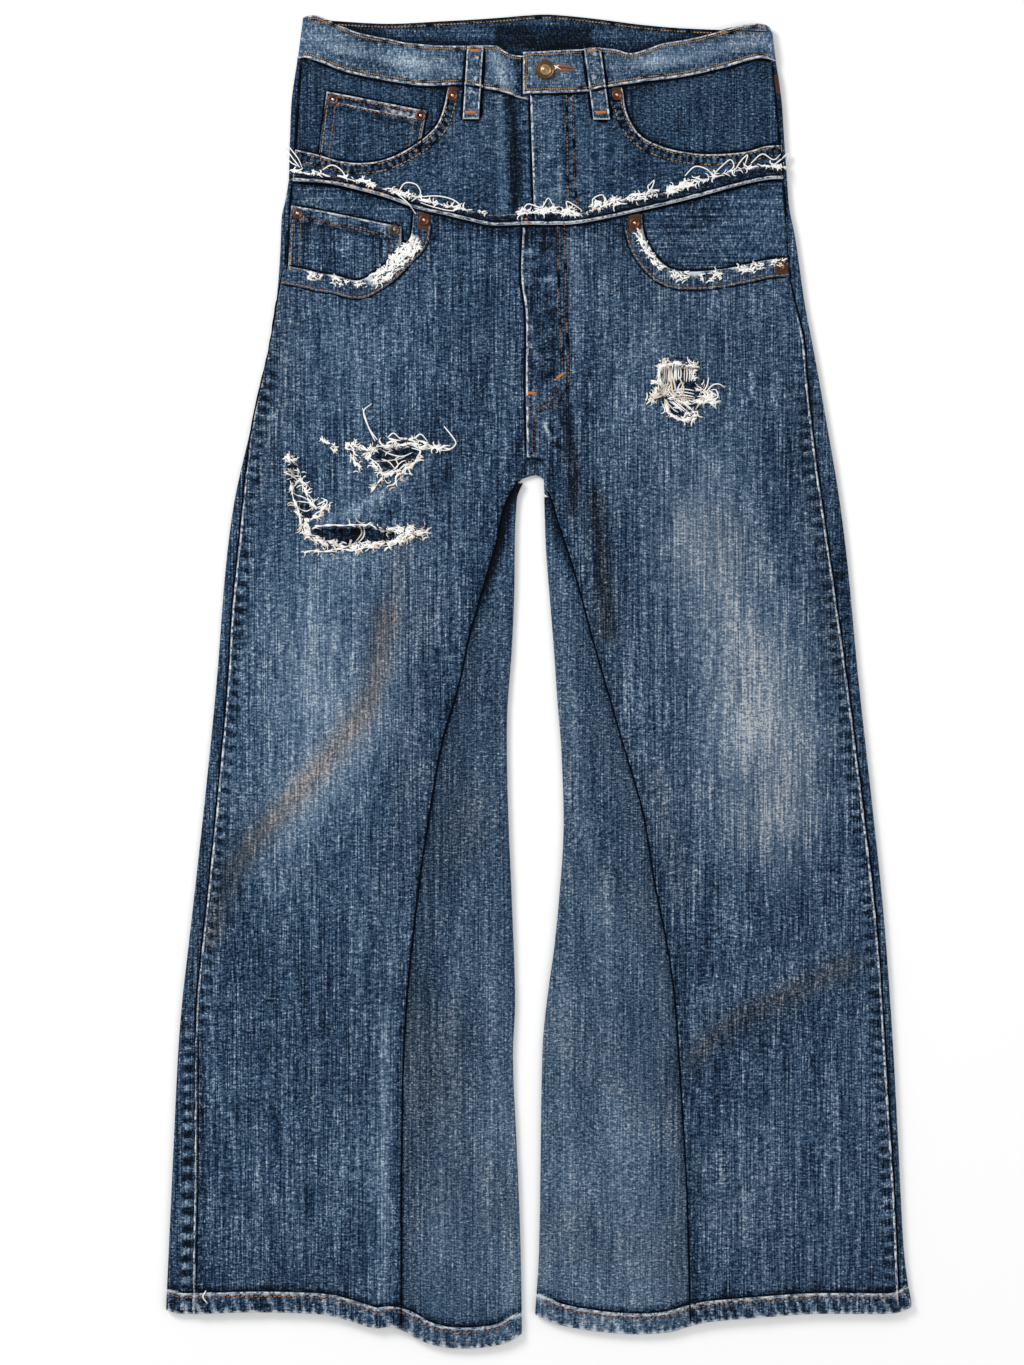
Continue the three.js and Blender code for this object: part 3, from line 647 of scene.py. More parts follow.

# %% [markdown]
# ## Denim
# Denim is a twill: indigo warp yarns, dyed only on the outside, over undyed weft. Stonewashing
# rubs the dye off unevenly, so the eye sees long pale streaks down the warp where a yarn is
# thick (slubs), short flecks where the weft shows, and clouds of fading. The material makes
# one number, how pale or dark a spot is, from the stored tone, which holds fading and painted
# light and shade, and noise at those real sizes, and a ramp of real indigo shades turns it to
# colour. Yarns are 0.5 mm apart, too fine to show from this far, so the flecks are drawn two to
# three times as coarse.


# %% Denim material
def denim_material(name, base, tint, streaks, quarter_turn=False):
    """Stonewashed denim. base is its usual wash, tint a colour over it, streaks their strength."""
    material, tree, shader = new_material(name, 0.88)
    place = add_node(tree, "ShaderNodeTexCoord").outputs["Object"]

    def noise(across, along, detail=2.0, turn=0.0, roughness=0.55):
        """Noise with bumps of that size in millimetres, centred on 0."""
        if quarter_turn:
            across, along = along, across
        scaled = add_node(tree, "ShaderNodeMapping", {
            "Vector": place,
            "Rotation": (0, 0, turn),
            "Scale": (1000 / across, 1000 / along, 1000 / across),
        })
        made = add_node(tree, "ShaderNodeTexNoise", {
            "Vector": scaled.outputs["Vector"], "Scale": 1.0, "Detail": detail,
            "Roughness": roughness,
        })
        return add_node(tree, "ShaderNodeMath", {0: made.outputs["Fac"], 1: 0.5},
                        operation="SUBTRACT").outputs[0]

    def attribute(mark):
        return add_node(tree, "ShaderNodeAttribute", attribute_name=mark).outputs["Fac"]

    def weighted(parts, start):
        """start plus each part times its weight."""
        total = start
        for part, weight in parts:
            total = add_node(tree, "ShaderNodeMath", {0: part, 1: weight, 2: total},
                             operation="MULTIPLY_ADD").outputs[0]
        return total

    slub = noise(1.3, 40, 3.0)
    rib = noise(1.15, 300, 2.0)
    band = noise(9, 150, 1.0)
    fleck = noise(1.6, 1.9, 3.0, roughness=0.75)
    dash = noise(4.5, 1.3, 2.0, turn=0.35)
    cloud = noise(55, 75, 1.0)
    grain = weighted([(slub, streaks), (rib, 0.75 * streaks), (fleck, 1.6), (dash, 1.05)], 0.0)
    contrast = add_node(tree, "ShaderNodeMapRange", {
        "Value": attribute("wash"), "From Min": -0.05, "From Max": 0.32, "To Min": 1.3, "To Max": 0.72,
    })
    grain = add_node(tree, "ShaderNodeMath", {0: grain, 1: contrast.outputs["Result"]},
                     operation="MULTIPLY").outputs[0]
    wash = weighted(
        [(grain, 1.0), (band, 0.24 * streaks), (cloud, 0.24), (attribute("wash"), 1.0)], base)
    ramp = add_node(tree, "ShaderNodeValToRGB", {"Fac": wash})
    shades = ((0.0, "#02060D"), (0.2, "#0D1F33"), (0.42, "#28415A"), (0.6, "#465F77"),
              (0.78, "#6E8295"), (0.92, "#95A4B0"), (1.0, "#BEC6CC"))
    elements = ramp.color_ramp.elements
    while len(elements) < len(shades):
        elements.new(0.5)
    for element, (at, shade) in zip(elements, shades):
        element.position = at
        element.color = linear(shade)
    tinted = add_node(tree, "ShaderNodeMix", {
        "Factor": 0.35, 6: ramp.outputs["Color"], 7: linear(tint),
    }, data_type="RGBA", blend_type="SOFT_LIGHT").outputs[2]
    # A pale brown multiplied in: the brown of old use, and the brown of the painted shade in some folds.
    soiled_and_shaded = add_node(tree, "ShaderNodeMix", {
        "Factor": attribute("dirt"), 6: tinted, 7: linear("#F4D2BE"),
    }, data_type="RGBA", blend_type="MULTIPLY").outputs[2]
    chafe = weighted([(fleck, 1.5), (dash, 0.8), (attribute("worn"), 1.35)], -0.28)
    chafed = add_node(tree, "ShaderNodeMath", {0: chafe, 1: 0.0}, operation="MAXIMUM", use_clamp=True)
    coloured = add_node(tree, "ShaderNodeMix", {
        "Factor": chafed.outputs[0], 6: soiled_and_shaded, 7: linear("#C3CAD0"),
    }, data_type="RGBA").outputs[2]
    tree.links.new(coloured, shader.inputs["Base Color"])
    relief = weighted([(slub, 0.5), (fleck, 1.0), (dash, 0.6)], 0.0)
    bump = add_node(tree, "ShaderNodeBump", {"Height": relief, "Strength": 0.35, "Distance": 0.0006})
    tree.links.new(bump.outputs["Normal"], shader.inputs["Normal"])
    shader.inputs["Specular IOR Level"].default_value = 0.1
    shader.inputs["Sheen Weight"].default_value = 0.04
    shader.inputs["Sheen Roughness"].default_value = 0.5
    return material


denim = denim_material("stonewashed indigo twill", 0.435, "#4E6680", 1.0)
denim_across = denim_material("indigo twill cut across", 0.44, "#4E6680", 0.8, True)
denim_waist = denim_material("indigo twill of the second waist", 0.395, "#45647A", 0.6)
denim_band = denim_material("waistband twill", 0.47, "#566678", 0.5, True)
denim_grey = denim_material("greyed godet twill", 0.45, "#50647A", 0.7)
denim_raw = denim_material("unfaded indigo twill", 0.38, "#2C4468", 0.3)
print("denim shader has", len(denim.node_tree.nodes), "nodes")

# %% [markdown]
# ## The fronts of the legs
# Each front is one panel from the pocket opening to the hem. Stonewashing has lightened the
# thigh and left the seat and seams dark, so its tone is a few soft glows. Beside the side seam
# the four layers inside drew the cloth into a row of puckers, whose tops were rubbed pale and
# whose hollows are painted dark as shade. The rips are real holes: the leg's back shows through
# them, with shade painted on it and round each rip's edge.


# %% Tones that wear leaves
def glow(x, y, centre, radii):
    """1 in the middle of a soft ellipse, fading to 0 outside it."""
    return np.exp(-(((x - centre[0]) / radii[0]) ** 2) - ((y - centre[1]) / radii[1]) ** 2)


def near(distance, reach):
    """1 on a line, fading to 0 at reach."""
    return smooth(reach, 0, distance)


def seam_line(curve, low, high, step=4):
    heights = np.arange(low, high, step)
    return Line(points_of(curve(heights), heights))


FADES = {
    RIGHT: [
        ((-192, 0), (60, 130), 0.31), ((-214, -112), (44, 62), 0.11), ((-160, 285), (60, 70), 0.12),
        ((-150, 110), (60, 50), 0.06), ((-60, 300), (40, 110), -0.03), ((-255, 250), (26, 80), -0.05),
        ((-250, -330), (60, 90), -0.02), ((-140, -250), (40, 120), 0.03), ((-118, 52), (20, 60), 0.03),
        ((-140, -470), (60, 60), 0.05),
    ],
    LEFT: [
        ((203, -60), (58, 106), 0.37), ((146, 128), (50, 92), 0.28), ((112, 300), (60, 60), 0.07),
        ((170, 20), (50, 70), 0.14), ((90, -60), (34, 110), 0.04), ((262, 60), (16, 160), -0.08),
        ((190, -240), (60, 60), -0.06), ((220, -440), (80, 110), 0.05), ((75, 190), (34, 60), 0.05),
    ],
}
TURNED = -307  # below here the right leg's seam was pressed the other way
# Brown stains, and the brown of the painted shade in two crotch folds, each with its width and strength.
STAINS_AND_SHADE = {
    RIGHT: [
        (KNEE_FOLD, 13, 0.9), ([(-122, 114), (-131, 62)], 12, 0.4),
        ([(-96, 70), (-108, -40), (-124, -180)], 18, 0.25),
        ([(-226, 330), (-228, 250), (-244, 160)], 16, 0.25),
    ],
    LEFT: [
        ([(133, -333), (168, -302), (274, -247)], 11, 0.75),
        ([(150, 120), (190, 0), (215, -120)], 55, 0.2),
        # These two lines are the brown in the painted shade of the crotch folds.
        ([(27, 212), (31, 182), (30, 146)], 6, 0.7), ([(50, 160), (55, 110), (60, 40)], 9, 0.8),
        ([(104, -90), (125, -180)], 16, 0.3),
        ([(230, 250), (244, 140), (262, 10)], 14, 0.25),
    ],
}

RUBBED = {  # short lines that stand up, with their width and how much paler they are
    RIGHT: [
        ([(-134, -290), (-136, -420), (-137, -545)], 6, 0.2),
        ([(-188, 140), (-150, 158), (-98, 194)], 5, 0.2), ([(-20, 330), (-32, 380)], 9, 0.05),
        ([(-213, 222), (-209, 180), (-196, 140)], 9, 0.08),
        ([(-30, 236), (-80, 262), (-118, 300)], 5, 0.06),
    ],
    LEFT: [
        ([(-11, 376), (-4, 377)], 3.2, 0.30), ([(-10, 366), (-4, 366)], 2.8, 0.26),
        ([(-10, 358), (-5, 358)], 2.8, 0.22), ([(-12, 348), (0, 351.5), (14, 353)], 1.8, 0.34),
        ([(-10, 341), (-3, 341)], 2.6, 0.22), ([(-10, 331), (0, 336.5), (12, 333)], 1.2, 0.22),
        ([(-6, 320), (-5, 300)], 1.5, 0.16), ([(-8, 296), (0, 283), (10, 276)], 2.2, 0.18),
        ([(4, 256), (16, 262), (24, 270)], 1.6, 0.18), ([(2, 228), (10, 216), (12, 204)], 2.0, 0.28),
        ([(30, 398), (34, 340), (32, 280)], 5, 0.08),
    ],
}
IMPRINTS = {RIGHT: ((-89, 389), (9, 7)), LEFT: ((70, 391), (10, 10))}
# Painted shade along pressed folds by the crotch, and on the left one painted highlight on a fold's top.
FOLD_SHADE_AND_HIGHLIGHT = {  # pressed folds by the crotch, with their width and tone
    RIGHT: [([(-17, 212), (-24, 184)], 4, -0.28)],
    LEFT: [
        ([(22, 238), (28, 208), (31, 182), (30, 150)], 4.5, -0.34),
        ([(10, 214), (14, 196), (10, 172)], 5, -0.18),
        ([(49, 166), (52, 140), (55, 112), (56, 76), (62, 46)], 7, -0.26),
        ([(5, 225), (13, 210)], 1.8, 0.5), ([(8, 223), (16, 207)], 1.8, -0.5),
    ],
}


def spread(lines, x, y):
    """The sum of soft bands along lines, each with its width and strength."""
    total = np.zeros(len(x))
    for line, wide, strength in lines:
        distance, _ = Line(line, 8).measure(x, y)
        total += strength * bell(distance, wide)
    return total


def hem_points(side):
    x = np.linspace(*sorted((inner[side](HEM_LINE), outer[side](HEM_LINE))), 140)
    return points_of(x, hem[side](x))


HEM_BAND = 17.2  # the hem is turned up twice, to this width
HEM_STITCH = 14.3  # and stitched this far from its edge
hem_line = {side: Line(hem_points(side)) for side in (RIGHT, LEFT)}
PUCKER = 11.5  # from one pucker of the side seam to the next
BACK_PUCKER = 12.5
front_seam = {side: seam_line(outseam[side], HEM_LINE, 362) for side in (RIGHT, LEFT)}
inset_seam = {side: seam_line(godet_seam[side], HEM_LINE, GODET_TOP[side]) for side in (RIGHT, LEFT)}


def hem_relief(side, x, y):
    """The height and tone of a hem: a raised band, roped by its stitching."""
    up, along = hem_line[side].measure(x, y)
    band = smooth(HEM_BAND + 0.9, HEM_BAND - 0.6, up)
    twist = along / 10.5 + up / 34 + 0.55 * np.sin(along / 23) + 0.3 * np.sin(along / 9.1)
    roping = bell(np.mod(twist, 1) - 0.5, 0.17)
    height = band * (0.8 + 0.4 * roping) - 0.25 * bell(up - HEM_STITCH, 1.1)
    # A band of painted shade just above the hem's raised edge; the roping is wear.
    tone = band * (0.36 * roping - 0.10) - 0.34 * bell(up - HEM_BAND - 3.2, 2.4)
    worn = bell(up, 1.8) * (0.4 + 0.9 * roping) + 0.35 * band * roping
    return height, tone, worn + 0.8 * bell(up - HEM_BAND, 1.1)


# %% Where the fronts lie and how they are worn
def front_height(side):
    def height(x, y, rim):
        if side == RIGHT:
            raised = smooth(300, 335, y) * smooth(-70, -100, x)
        else:
            raised = smooth(120, CROTCH, y) * smooth(60, 20, x)
        legs = smooth(300, 200, y)
        z = FRONT + CLOTH + LAYER * raised + 2.0 * spread(RUBBED[side], x, y)
        z = z + legs * spread(BROAD_FOLDS, x, y)
        z = z + creased(CREASES[side], x, y) + 0.16 * wander(x, y, 26, 3) + 0.1 * wander(x, y, 11, 4)
        z = z + 0.34 * puckers(front_seam[side], x, y, PUCKER, 15, 5) * smooth(300, 240, y)
        z = z + 0.22 * puckers(inset_seam[side], x, y, 17, 12)
        return z + hem_relief(side, x, y)[0] - 0.5 * np.exp(-(rim**2))
    return height


scoop_line = {key: Line(points) for key, points in scoop.items()}


def front_tones(side):
    def tones(x, y, rim):
        seam, _ = front_seam[side].measure(x, y)
        pucker = puckers(front_seam[side], x, y, PUCKER, 16, 6)
        on_leg = smooth(330, 250, y)
        _, hem_tone, hem_worn = hem_relief(side, x, y)
        pocket, pocket_along = scoop_line["lower", side].measure(x, y)
        # Creases are painted paler on their ridges and darker in their troughs: wear, and painted light and
        # shade.
        wash = 0.018 * wander(x, y, 60, 7) + 0.05 * creased(CREASES[side], x, y)
        wash = wash + sum(gain * glow(x, y, at, radii) for at, radii, gain in FADES[side])
        # Squares of the side seam's puckers: tops rubbed pale, hollows painted dark as shade.
        squares = np.clip(3.0 * pucker, -1.1, 0.8) * near(np.abs(seam - 6.5), 8)
        squares = squares * (smooth(TURNED - 15, TURNED + 15, y) if side == RIGHT else 1)
        wash = wash + on_leg * (0.24 * squares - 0.08 * near(seam, 20) + 0.06 * near(np.abs(seam - 15), 4))
        wash = wash - 0.10 * near(inset_seam[side].measure(x, y)[0], 9) + hem_tone
        wash = wash - 0.05 * near(pocket, 24) + 0.03 * smooth(250, 420, y)
        # Rubbed lines, and the painted shade and highlight of the crotch folds.
        wash = wash + spread(RUBBED[side] + FOLD_SHADE_AND_HIGHLIGHT[side], x, y)
        # Painted shade just under the join's ridge, between the pocket openings.
        wash = wash - 0.22 * smooth(13, 7, ridge(x) - y) * smooth(108, 92, np.abs(x))
        centre, radii = IMPRINTS[side]
        wash = wash - 0.26 * glow(x, y, centre, radii) * (0.8 + 0.3 * wander(x, y, 4, 15))
        # Painted shade ringing each rip.
        torn = np.min([rip_lines[name].measure(x, y)[0] for name in RIPS_OF[side]], axis=0)
        wash = wash - 0.16 * near(torn, 11)
        fly = x - fly_lower(np.maximum(y, CROTCH))
        if side == LEFT:
            placket = smooth(28, 24, fly) * smooth(250, 262, y)
            wash = wash - placket * (0.17 + 0.13 * wander(x, y, 8, 16))
            wash = wash - 0.10 * near(np.abs(x - 20), 7) * smooth(236, 250, y)
            bars = 0.12 * np.sin(math.tau * y / 7.5) * near(np.abs(fly - 32), 3.5)
            wash = wash + bars * smooth(250, 262, y)
        else:
            # Painted shade beside the fly, where the right front rolls under the left.
            by_fly = 0.14 * smooth(-34, -12, x) * smooth(180, 230, y)
            wash = wash - by_fly * (0.5 + 0.5 * smooth(300, 380, y))
        patchy = np.clip(0.6 + 0.7 * wander(x, y, 7, 11), 0, 1)
        worn = hem_worn + 0.55 * near(seam, 2.4) * on_leg * (0.75 + 0.5 * wander(x, y, 9, 5))
        worn = worn + 0.25 * np.clip(pucker, 0, 1) * on_leg * near(np.abs(seam - 6), 6)
        if side == LEFT:
            worn = worn + 1.15 * near(fly, 2.2) * smooth(CROTCH - 4, CROTCH, y)
            frayed = 0.9 * patchy * near(pocket, 9)
            worn = worn + frayed * smooth(2, 8, pocket_along) * smooth(152, 146, pocket_along)
        else:
            solid = smooth(70, 78, pocket_along) * smooth(132, 126, pocket_along)
            part_way = smooth(16, 22, pocket_along) * smooth(74, 66, pocket_along)
            worn = worn + 1.3 * solid * near(pocket, 16) + 1.0 * part_way * patchy * near(pocket, 9)
        worn = worn + 0.5 * near(pocket, 1.8)
        # Stains, plus the brown of the crotch folds' painted shade.
        dirt = spread(STAINS_AND_SHADE[side], x, y) + 0.10 * blots(x, y, 70, 12) + 0.1 * (side == LEFT)
        wash = wash + 0.12 * np.clip(dirt, 0, 1)
        return {"wash": wash, "worn": np.clip(worn, 0, 1.2), "dirt": np.clip(dirt, 0, 1)}
    return tones


# %% The fronts' outlines
def front_outline(side, step=2.6):
    corner = scoop["lower", side][0]
    rows = np.arange(HEM_LINE, corner[1] - 1, step)
    x = outseam[side](rows)
    side_edge = points_of(x, rows + hem_warp(side, x, rows))
    pocket = scoop["lower", side][:-1]
    lap = FLY_LAP if side == RIGHT else 0
    end = float(fly_lower(400)) + lap
    seam_x = np.linspace(pocket[-1][0], end, max(int(abs(pocket[-1][0] - end) / step), 4))[1:]
    top = points_of(seam_x, ridge(seam_x) - 0.9)
    rows = np.arange(top[-1][1] - step, CROTCH, -step)
    lapped = lap * smooth(CROTCH, 225, rows)
    fly = points_of(fly_lower(rows) + lapped, rows)
    rows = np.arange(GODET_TOP[side], HEM_LINE, -step)
    x = godet_seam[side](rows)
    inseam = points_of(x, rows + hem_warp(side, x, rows))
    start, end = godet_seam[side](HEM_LINE), outseam[side](HEM_LINE)
    x = np.linspace(start, end, int(abs(end - start) / step))[:-1]
    bottom = points_of(x, hem[side](x))
    crotch = [[fly_lower(CROTCH) - 0.3 * (side == RIGHT), CROTCH]]
    if side == LEFT:
        crotch += [[-3, 196.6], [3.4, 196], [4.6, 188], [4.8, 180], [5.2, 172], [5.6, 165]]
    return np.vstack([side_edge, pocket, top, fly, crotch, inseam, bottom])


def ragged(outline, size, seed, step=1.6):
    """A rip's edge: the outline with torn nibbles of about that size."""
    points = path(closed(outline), step)[:-1]
    turns = random.Random(seed)
    offsets = np.array([[turns.uniform(-1, 1), turns.uniform(-1, 1)] for _ in points]) * size
    return points + (offsets + np.roll(offsets, 1, axis=0)) / 2


RIPS = {
    "knee": [(-198, 134), (-150, 134.5), (-128, 132.5), (-128, 124), (-150, 121), (-172, 119.5),
             (-192, 125)],
    "thigh": [(-144, 206), (-112, 205), (-106, 198), (-118, 187), (-130, 185), (-139, 193)],
    "slash": [(-220, 193), (-213, 192), (-203, 160), (-199, 145), (-207, 144), (-216, 166)],
    "left thigh": [(107, 276), (135, 276), (135, 264), (146, 257), (139, 248), (137, 236),
                   (117, 234), (112, 247), (104, 254), (108, 262)],
}
RIPS_OF = {RIGHT: ("knee", "thigh", "slash"), LEFT: ("left thigh",)}
rip_seeds = {name: seed for seed, name in enumerate(RIPS, 20)}
holes = {name: ragged(np.array(points, float), 1.0, rip_seeds[name]) for name, points in RIPS.items()}
rip_lines = {name: Line(closed(points)) for name, points in holes.items()}
flat_cloth("front_right", front_outline(RIGHT), front_height(RIGHT), front_tones(RIGHT),
           [holes[name] for name in RIPS_OF[RIGHT]], step=3.3)
flat_cloth("front_left", front_outline(LEFT), front_height(LEFT), front_tones(LEFT),
           [holes[name] for name in RIPS_OF[LEFT]], step=3.3,
           fine=([(4, 262), (4, 396)], 21, 1.6))

# %% [markdown]
# ## The backs and the godets
# A back panel lies under its leg, folds round the side and comes forward as a narrow strip to
# the side seam. A godet does the same round the inner edge, where its front half shows whole.
# Neither can be cut from a flat outline, so each is a grid: one row after another of the
# section across the leg, along the floor, round the fold and back on top. Creases push the
# upper half up; the half on the floor only ever bends upward, so that it rests flat.

# %% Folded cloth
HEM_ROWS = np.array([0, *RINGS]) + HEM_LINE


def leg_rows(top, step=3.4):
    return np.r_[HEM_ROWS, np.arange(HEM_ROWS[-1] + step, top, step), top]


def folded_cloth(name, rows, start, fold, end, under, relief, tones, warp=None,
                 columns=(26, 8, 9), material=None):
    """Cloth that comes along the floor from start to fold and back on top to end, as x at y."""
    flat, turn, front = columns
    middle = (FOLD_TOP + under(rows)) / 2
    radius = (FOLD_TOP - under(rows)) / 2
    direction = np.sign(fold(rows) - start(rows))
    centre = fold(rows) - direction * radius
    xs, zs = [], []
    for t in np.linspace(0, 1, flat + 1):
        xs.append(mix(start(rows), centre, t))
        zs.append(under(rows))
    for angle in np.linspace(0, math.pi, turn + 1)[1:-1]:
        xs.append(centre + direction * radius * math.sin(angle))
        zs.append(middle - radius * math.cos(angle))
    for t in np.linspace(0, 1, front + 1):
        xs.append(mix(centre, end(rows), t))
        zs.append(np.full(len(rows), FOLD_TOP))
    x = np.stack(xs, axis=1).ravel()
    z = np.stack(zs, axis=1).ravel()
    y = np.repeat(rows, len(xs))
    y = y + (warp(x, y) if warp else 0)
    on_top = np.clip((z - under(y)) / np.maximum(FOLD_TOP - under(y), 0.1), 0, 1)
    rise = relief(x, y)
    z = z + on_top * rise + (1 - on_top) * np.clip(rise, 0, 1.1)
    faces = grid_faces(len(rows), len(xs))
    points = points_of(x, y, z)
    a, b, d = (points[faces[0, i]] for i in (0, 1, 3))
    if np.cross(b - a, d - a)[2] > 0:  # the first face lies on the floor and looks down
        faces = faces[:, ::-1]
    cloth = make_object(name, points, faces, material or denim, tones(x, y, on_top), CLOTH)
    finish_cloth(name, points, faces)
    return cloth


# %% The backs of the legs
UNDERLAP = 6
YOKE_LINE = 380
BACK_CREASES = {
    side: [
        ([(side * 250, 176), (side * 150, 150), (side * 60, 168)], 9, 0.9),
        ([(side * 262, 60), (side * 190, 40), (side * 110, 52)], 10, 0.8),
        ([(side * 270, 0), (side * 200, -22), (side * 120, -8)], 12, 0.9),
        ([(side * 280, -80), (side * 210, -96), (side * 130, -84)], 12, 0.7),
        ([(side * 200, -200), (side * 220, -360), (side * 210, -520)], 22, 0.8),
        ([(side * 20, 210), (side * 60, 240), (side * 120, 262)], 8, 0.7),
    ]
    for side in (RIGHT, LEFT)
}


def yoke_seam(x):
    return 365 + 30 * np.minimum(np.abs(x) / 220, 1)


def back_relief(side):
    def relief(x, y):
        rise = creased(BACK_CREASES[side], x, y) + 0.12 * wander(x, y, 24, 31)
        rise = rise + 0.26 * puckers(front_seam[side], x, y, BACK_PUCKER, 12, 5) * smooth(300, 240, y)
        return rise + 0.4 * hem_relief(side, x, y)[0]
    return relief


def back_tones(side, seat=0.0):
    def tones(x, y, on_top):
        seam, _ = front_seam[side].measure(x, y)
        pucker = puckers(front_seam[side], x, y, BACK_PUCKER, 15, 6)
        _, hem_tone, hem_worn = hem_relief(side, x, y)
        outside = on_top * smooth(300, 260, y)
        low_leg = smooth(TURNED + 20, TURNED - 20, y) if side == RIGHT else 0.3
        squares = np.clip(3.0 * pucker, -1.1, 0.8) * near(np.abs(seam - 7), 8)
        # Creases are painted paler on their ridges and darker in their troughs: wear, and painted light and
        # shade.
        wash = 0.02 * wander(x, y, 50, 33) + 0.05 * creased(BACK_CREASES[side], x, y) + seat + hem_tone
        wash = wash + (1 - on_top) * 0.2 * glow(x, y, (side * 200, -20), (60, 120))
        wash = wash + (1 - on_top) * 0.12 * glow(x, y, (side * 110, 260), (60, 70))
        # Beside the side seam: puckers rubbed pale on top and painted dark in their hollows, and painted
        # shade by the seam where the front's edge lies over.
        wash = wash + outside * (0.42 * squares * low_leg - 0.16 * near(seam, 4) - 0.02)
        worn = hem_worn + 0.5 * outside * near(np.abs(seam - 9), 2.6) * low_leg * np.clip(2 * pucker, 0, 1)
        dirt = 0.15 * blots(x, y, 80, 35)
        if side == RIGHT:
            # Painted shade where the back shows through the right leg's three rips, a paler spot in the
            # knee rip, and a brown spot in the thigh rip.
            wash = wash - 0.46 * glow(x, y, (-160, 126), (44, 18))
            wash = wash - 0.36 * glow(x, y, (-125, 196), (30, 16))
            wash = wash + 0.10 * glow(x, y, (-160, 126), (12, 5))
            wash = wash - 0.2 * glow(x, y, (-210, 168), (12, 34))
            dirt = dirt + 1.1 * glow(x, y, (-124, 192), (18, 8))
        else:
            # Painted shade where the back shows through the left leg's rip.
            wash = wash - 0.34 * glow(x, y, (124, 255), (30, 34))
        # Painted shadow under the fronts' crotch edge, with a slightly paler spot below it.
        wash = wash - 0.3 * glow(x, y, (-4, 197), (14, 3.5)) + 0.04 * glow(x, y, (-4, 185), (10, 7))
        return {"wash": wash, "worn": np.clip(worn, 0, 1), "dirt": np.clip(dirt, 0, 1)}
    return tones


CROTCH_EDGE = {  # x at y where the back's crotch shows between the godets
    RIGHT: [(174, -20), (178.6, -14), (180.4, CENTRE_BACK - GAP / 2)],
    LEFT: [(162, 9.4), (162.4, 4.8), (178.6, 4.0), (180.4, CENTRE_BACK + GAP / 2)],
}


def back_start(side):
    heights, places = np.array(CROTCH_EDGE[side]).T

    def start(y):
        return np.where(y < GODET_TOP[side], godet_seam[side](y), np.interp(y, heights, places))
    return start


def back_end(side):
    def end(y):
        seam = np.abs(outseam[side](y)) - UNDERLAP * smooth(345, 300, y)
        return side * np.minimum(seam, np.abs(outer[side](y)) - 4)
    return end


SIDES = {RIGHT: "right", LEFT: "left"}
for side, word in SIDES.items():
    folded_cloth(
        f"back_{word}", leg_rows(YOKE_LINE - GAP), back_start(side), outer[side], back_end(side),
        back_under, back_relief(side), back_tones(side),
        lambda x, y, side=side: hem_warp(side, x, y)
        + (yoke_seam(x) - YOKE_LINE) * smooth(YOKE_LINE - 60, YOKE_LINE, y),
    )

# %% The yokes and the backs of the second waist
BACK_EDGE = 441


def seat_under(y):
    return np.full(np.shape(y), SEAT, float)


def plain_relief(x, y):
    return 0.12 * wander(x, y, 22, 41)


def side_tones(level):
    def tones(x, y, on_top):
        return {"wash": level + 0.03 * wander(x, y, 30, 42) - 0.05 * on_top,
                "worn": np.zeros(len(x)), "dirt": 0.12 * blots(x, y, 60, 43)}
    return tones


upper_outer = {
    RIGHT: through((441, -220), (476, -219), (512, -217.4), (546, -212.5)),
    LEFT: through((441, 218), (476, 215.5), (512, 213), (546, 208)),
}
for side, word in SIDES.items():
    def centre(y, side=side):
        return np.full(np.shape(y), CENTRE_BACK + side * GAP / 2)

    folded_cloth(
        f"yoke_{word}", np.linspace(YOKE_LINE, BACK_EDGE - 0.6, 24), centre, outer[side],
        side_seam["lower", side], seat_under, plain_relief, side_tones(0.0),
        lambda x, y: (yoke_seam(x) - YOKE_LINE) * smooth(BACK_EDGE - 10, YOKE_LINE, y),
        columns=(26, 8, 4),
    )
    folded_cloth(
        f"back_upper_{word}", np.linspace(BACK_EDGE, 548.5, 40), centre, upper_outer[side],
        side_seam["upper", side], seat_under, plain_relief, side_tones(-0.02),
        columns=(26, 8, 4), material=denim_waist,
    )

# %% [markdown]
# The godets came from another, greyer pair. Nothing is topstitched there: each godet simply
# comes out from under the front, with shade painted beside it, and hangs in long soft flutes
# that widen to the hem. The flutes are ridges and troughs along the run of the wedge, painted
# paler on top and darker in the troughs.

# %% The godets
FLUTES = {
    RIGHT: [
        ([(-30, 110), (-52, -60), (-76, -300), (-84, -560)], 9, 1.3),
        ([(-34, 60), (-70, -160), (-104, -420), (-108, -560)], 9, -0.9),
        ([(-28, -40), (-40, -300), (-46, -570)], 10, 0.8),
        ([(-30, -120), (-58, -330), (-66, -570)], 8, -0.6),
    ],
    LEFT: [
        ([(14, 100), (34, -60), (64, -300), (78, -560)], 10, 1.4),
        ([(24, 60), (66, -160), (100, -400), (112, -560)], 10, -0.9),
        ([(20, -120), (22, -300), (30, -560)], 9, 0.9),
        ([(24, -200), (42, -380), (52, -560)], 9, -0.7),
        ([(30, -100), (84, -260), (98, -560)], 10, 0.9),
    ],
}


def godet_relief(side):
    def relief(x, y):
        rise = creased(FLUTES[side], x, y) + 0.14 * wander(x, y, 20, 51)
        return rise + hem_relief(side, x, y)[0]
    return relief


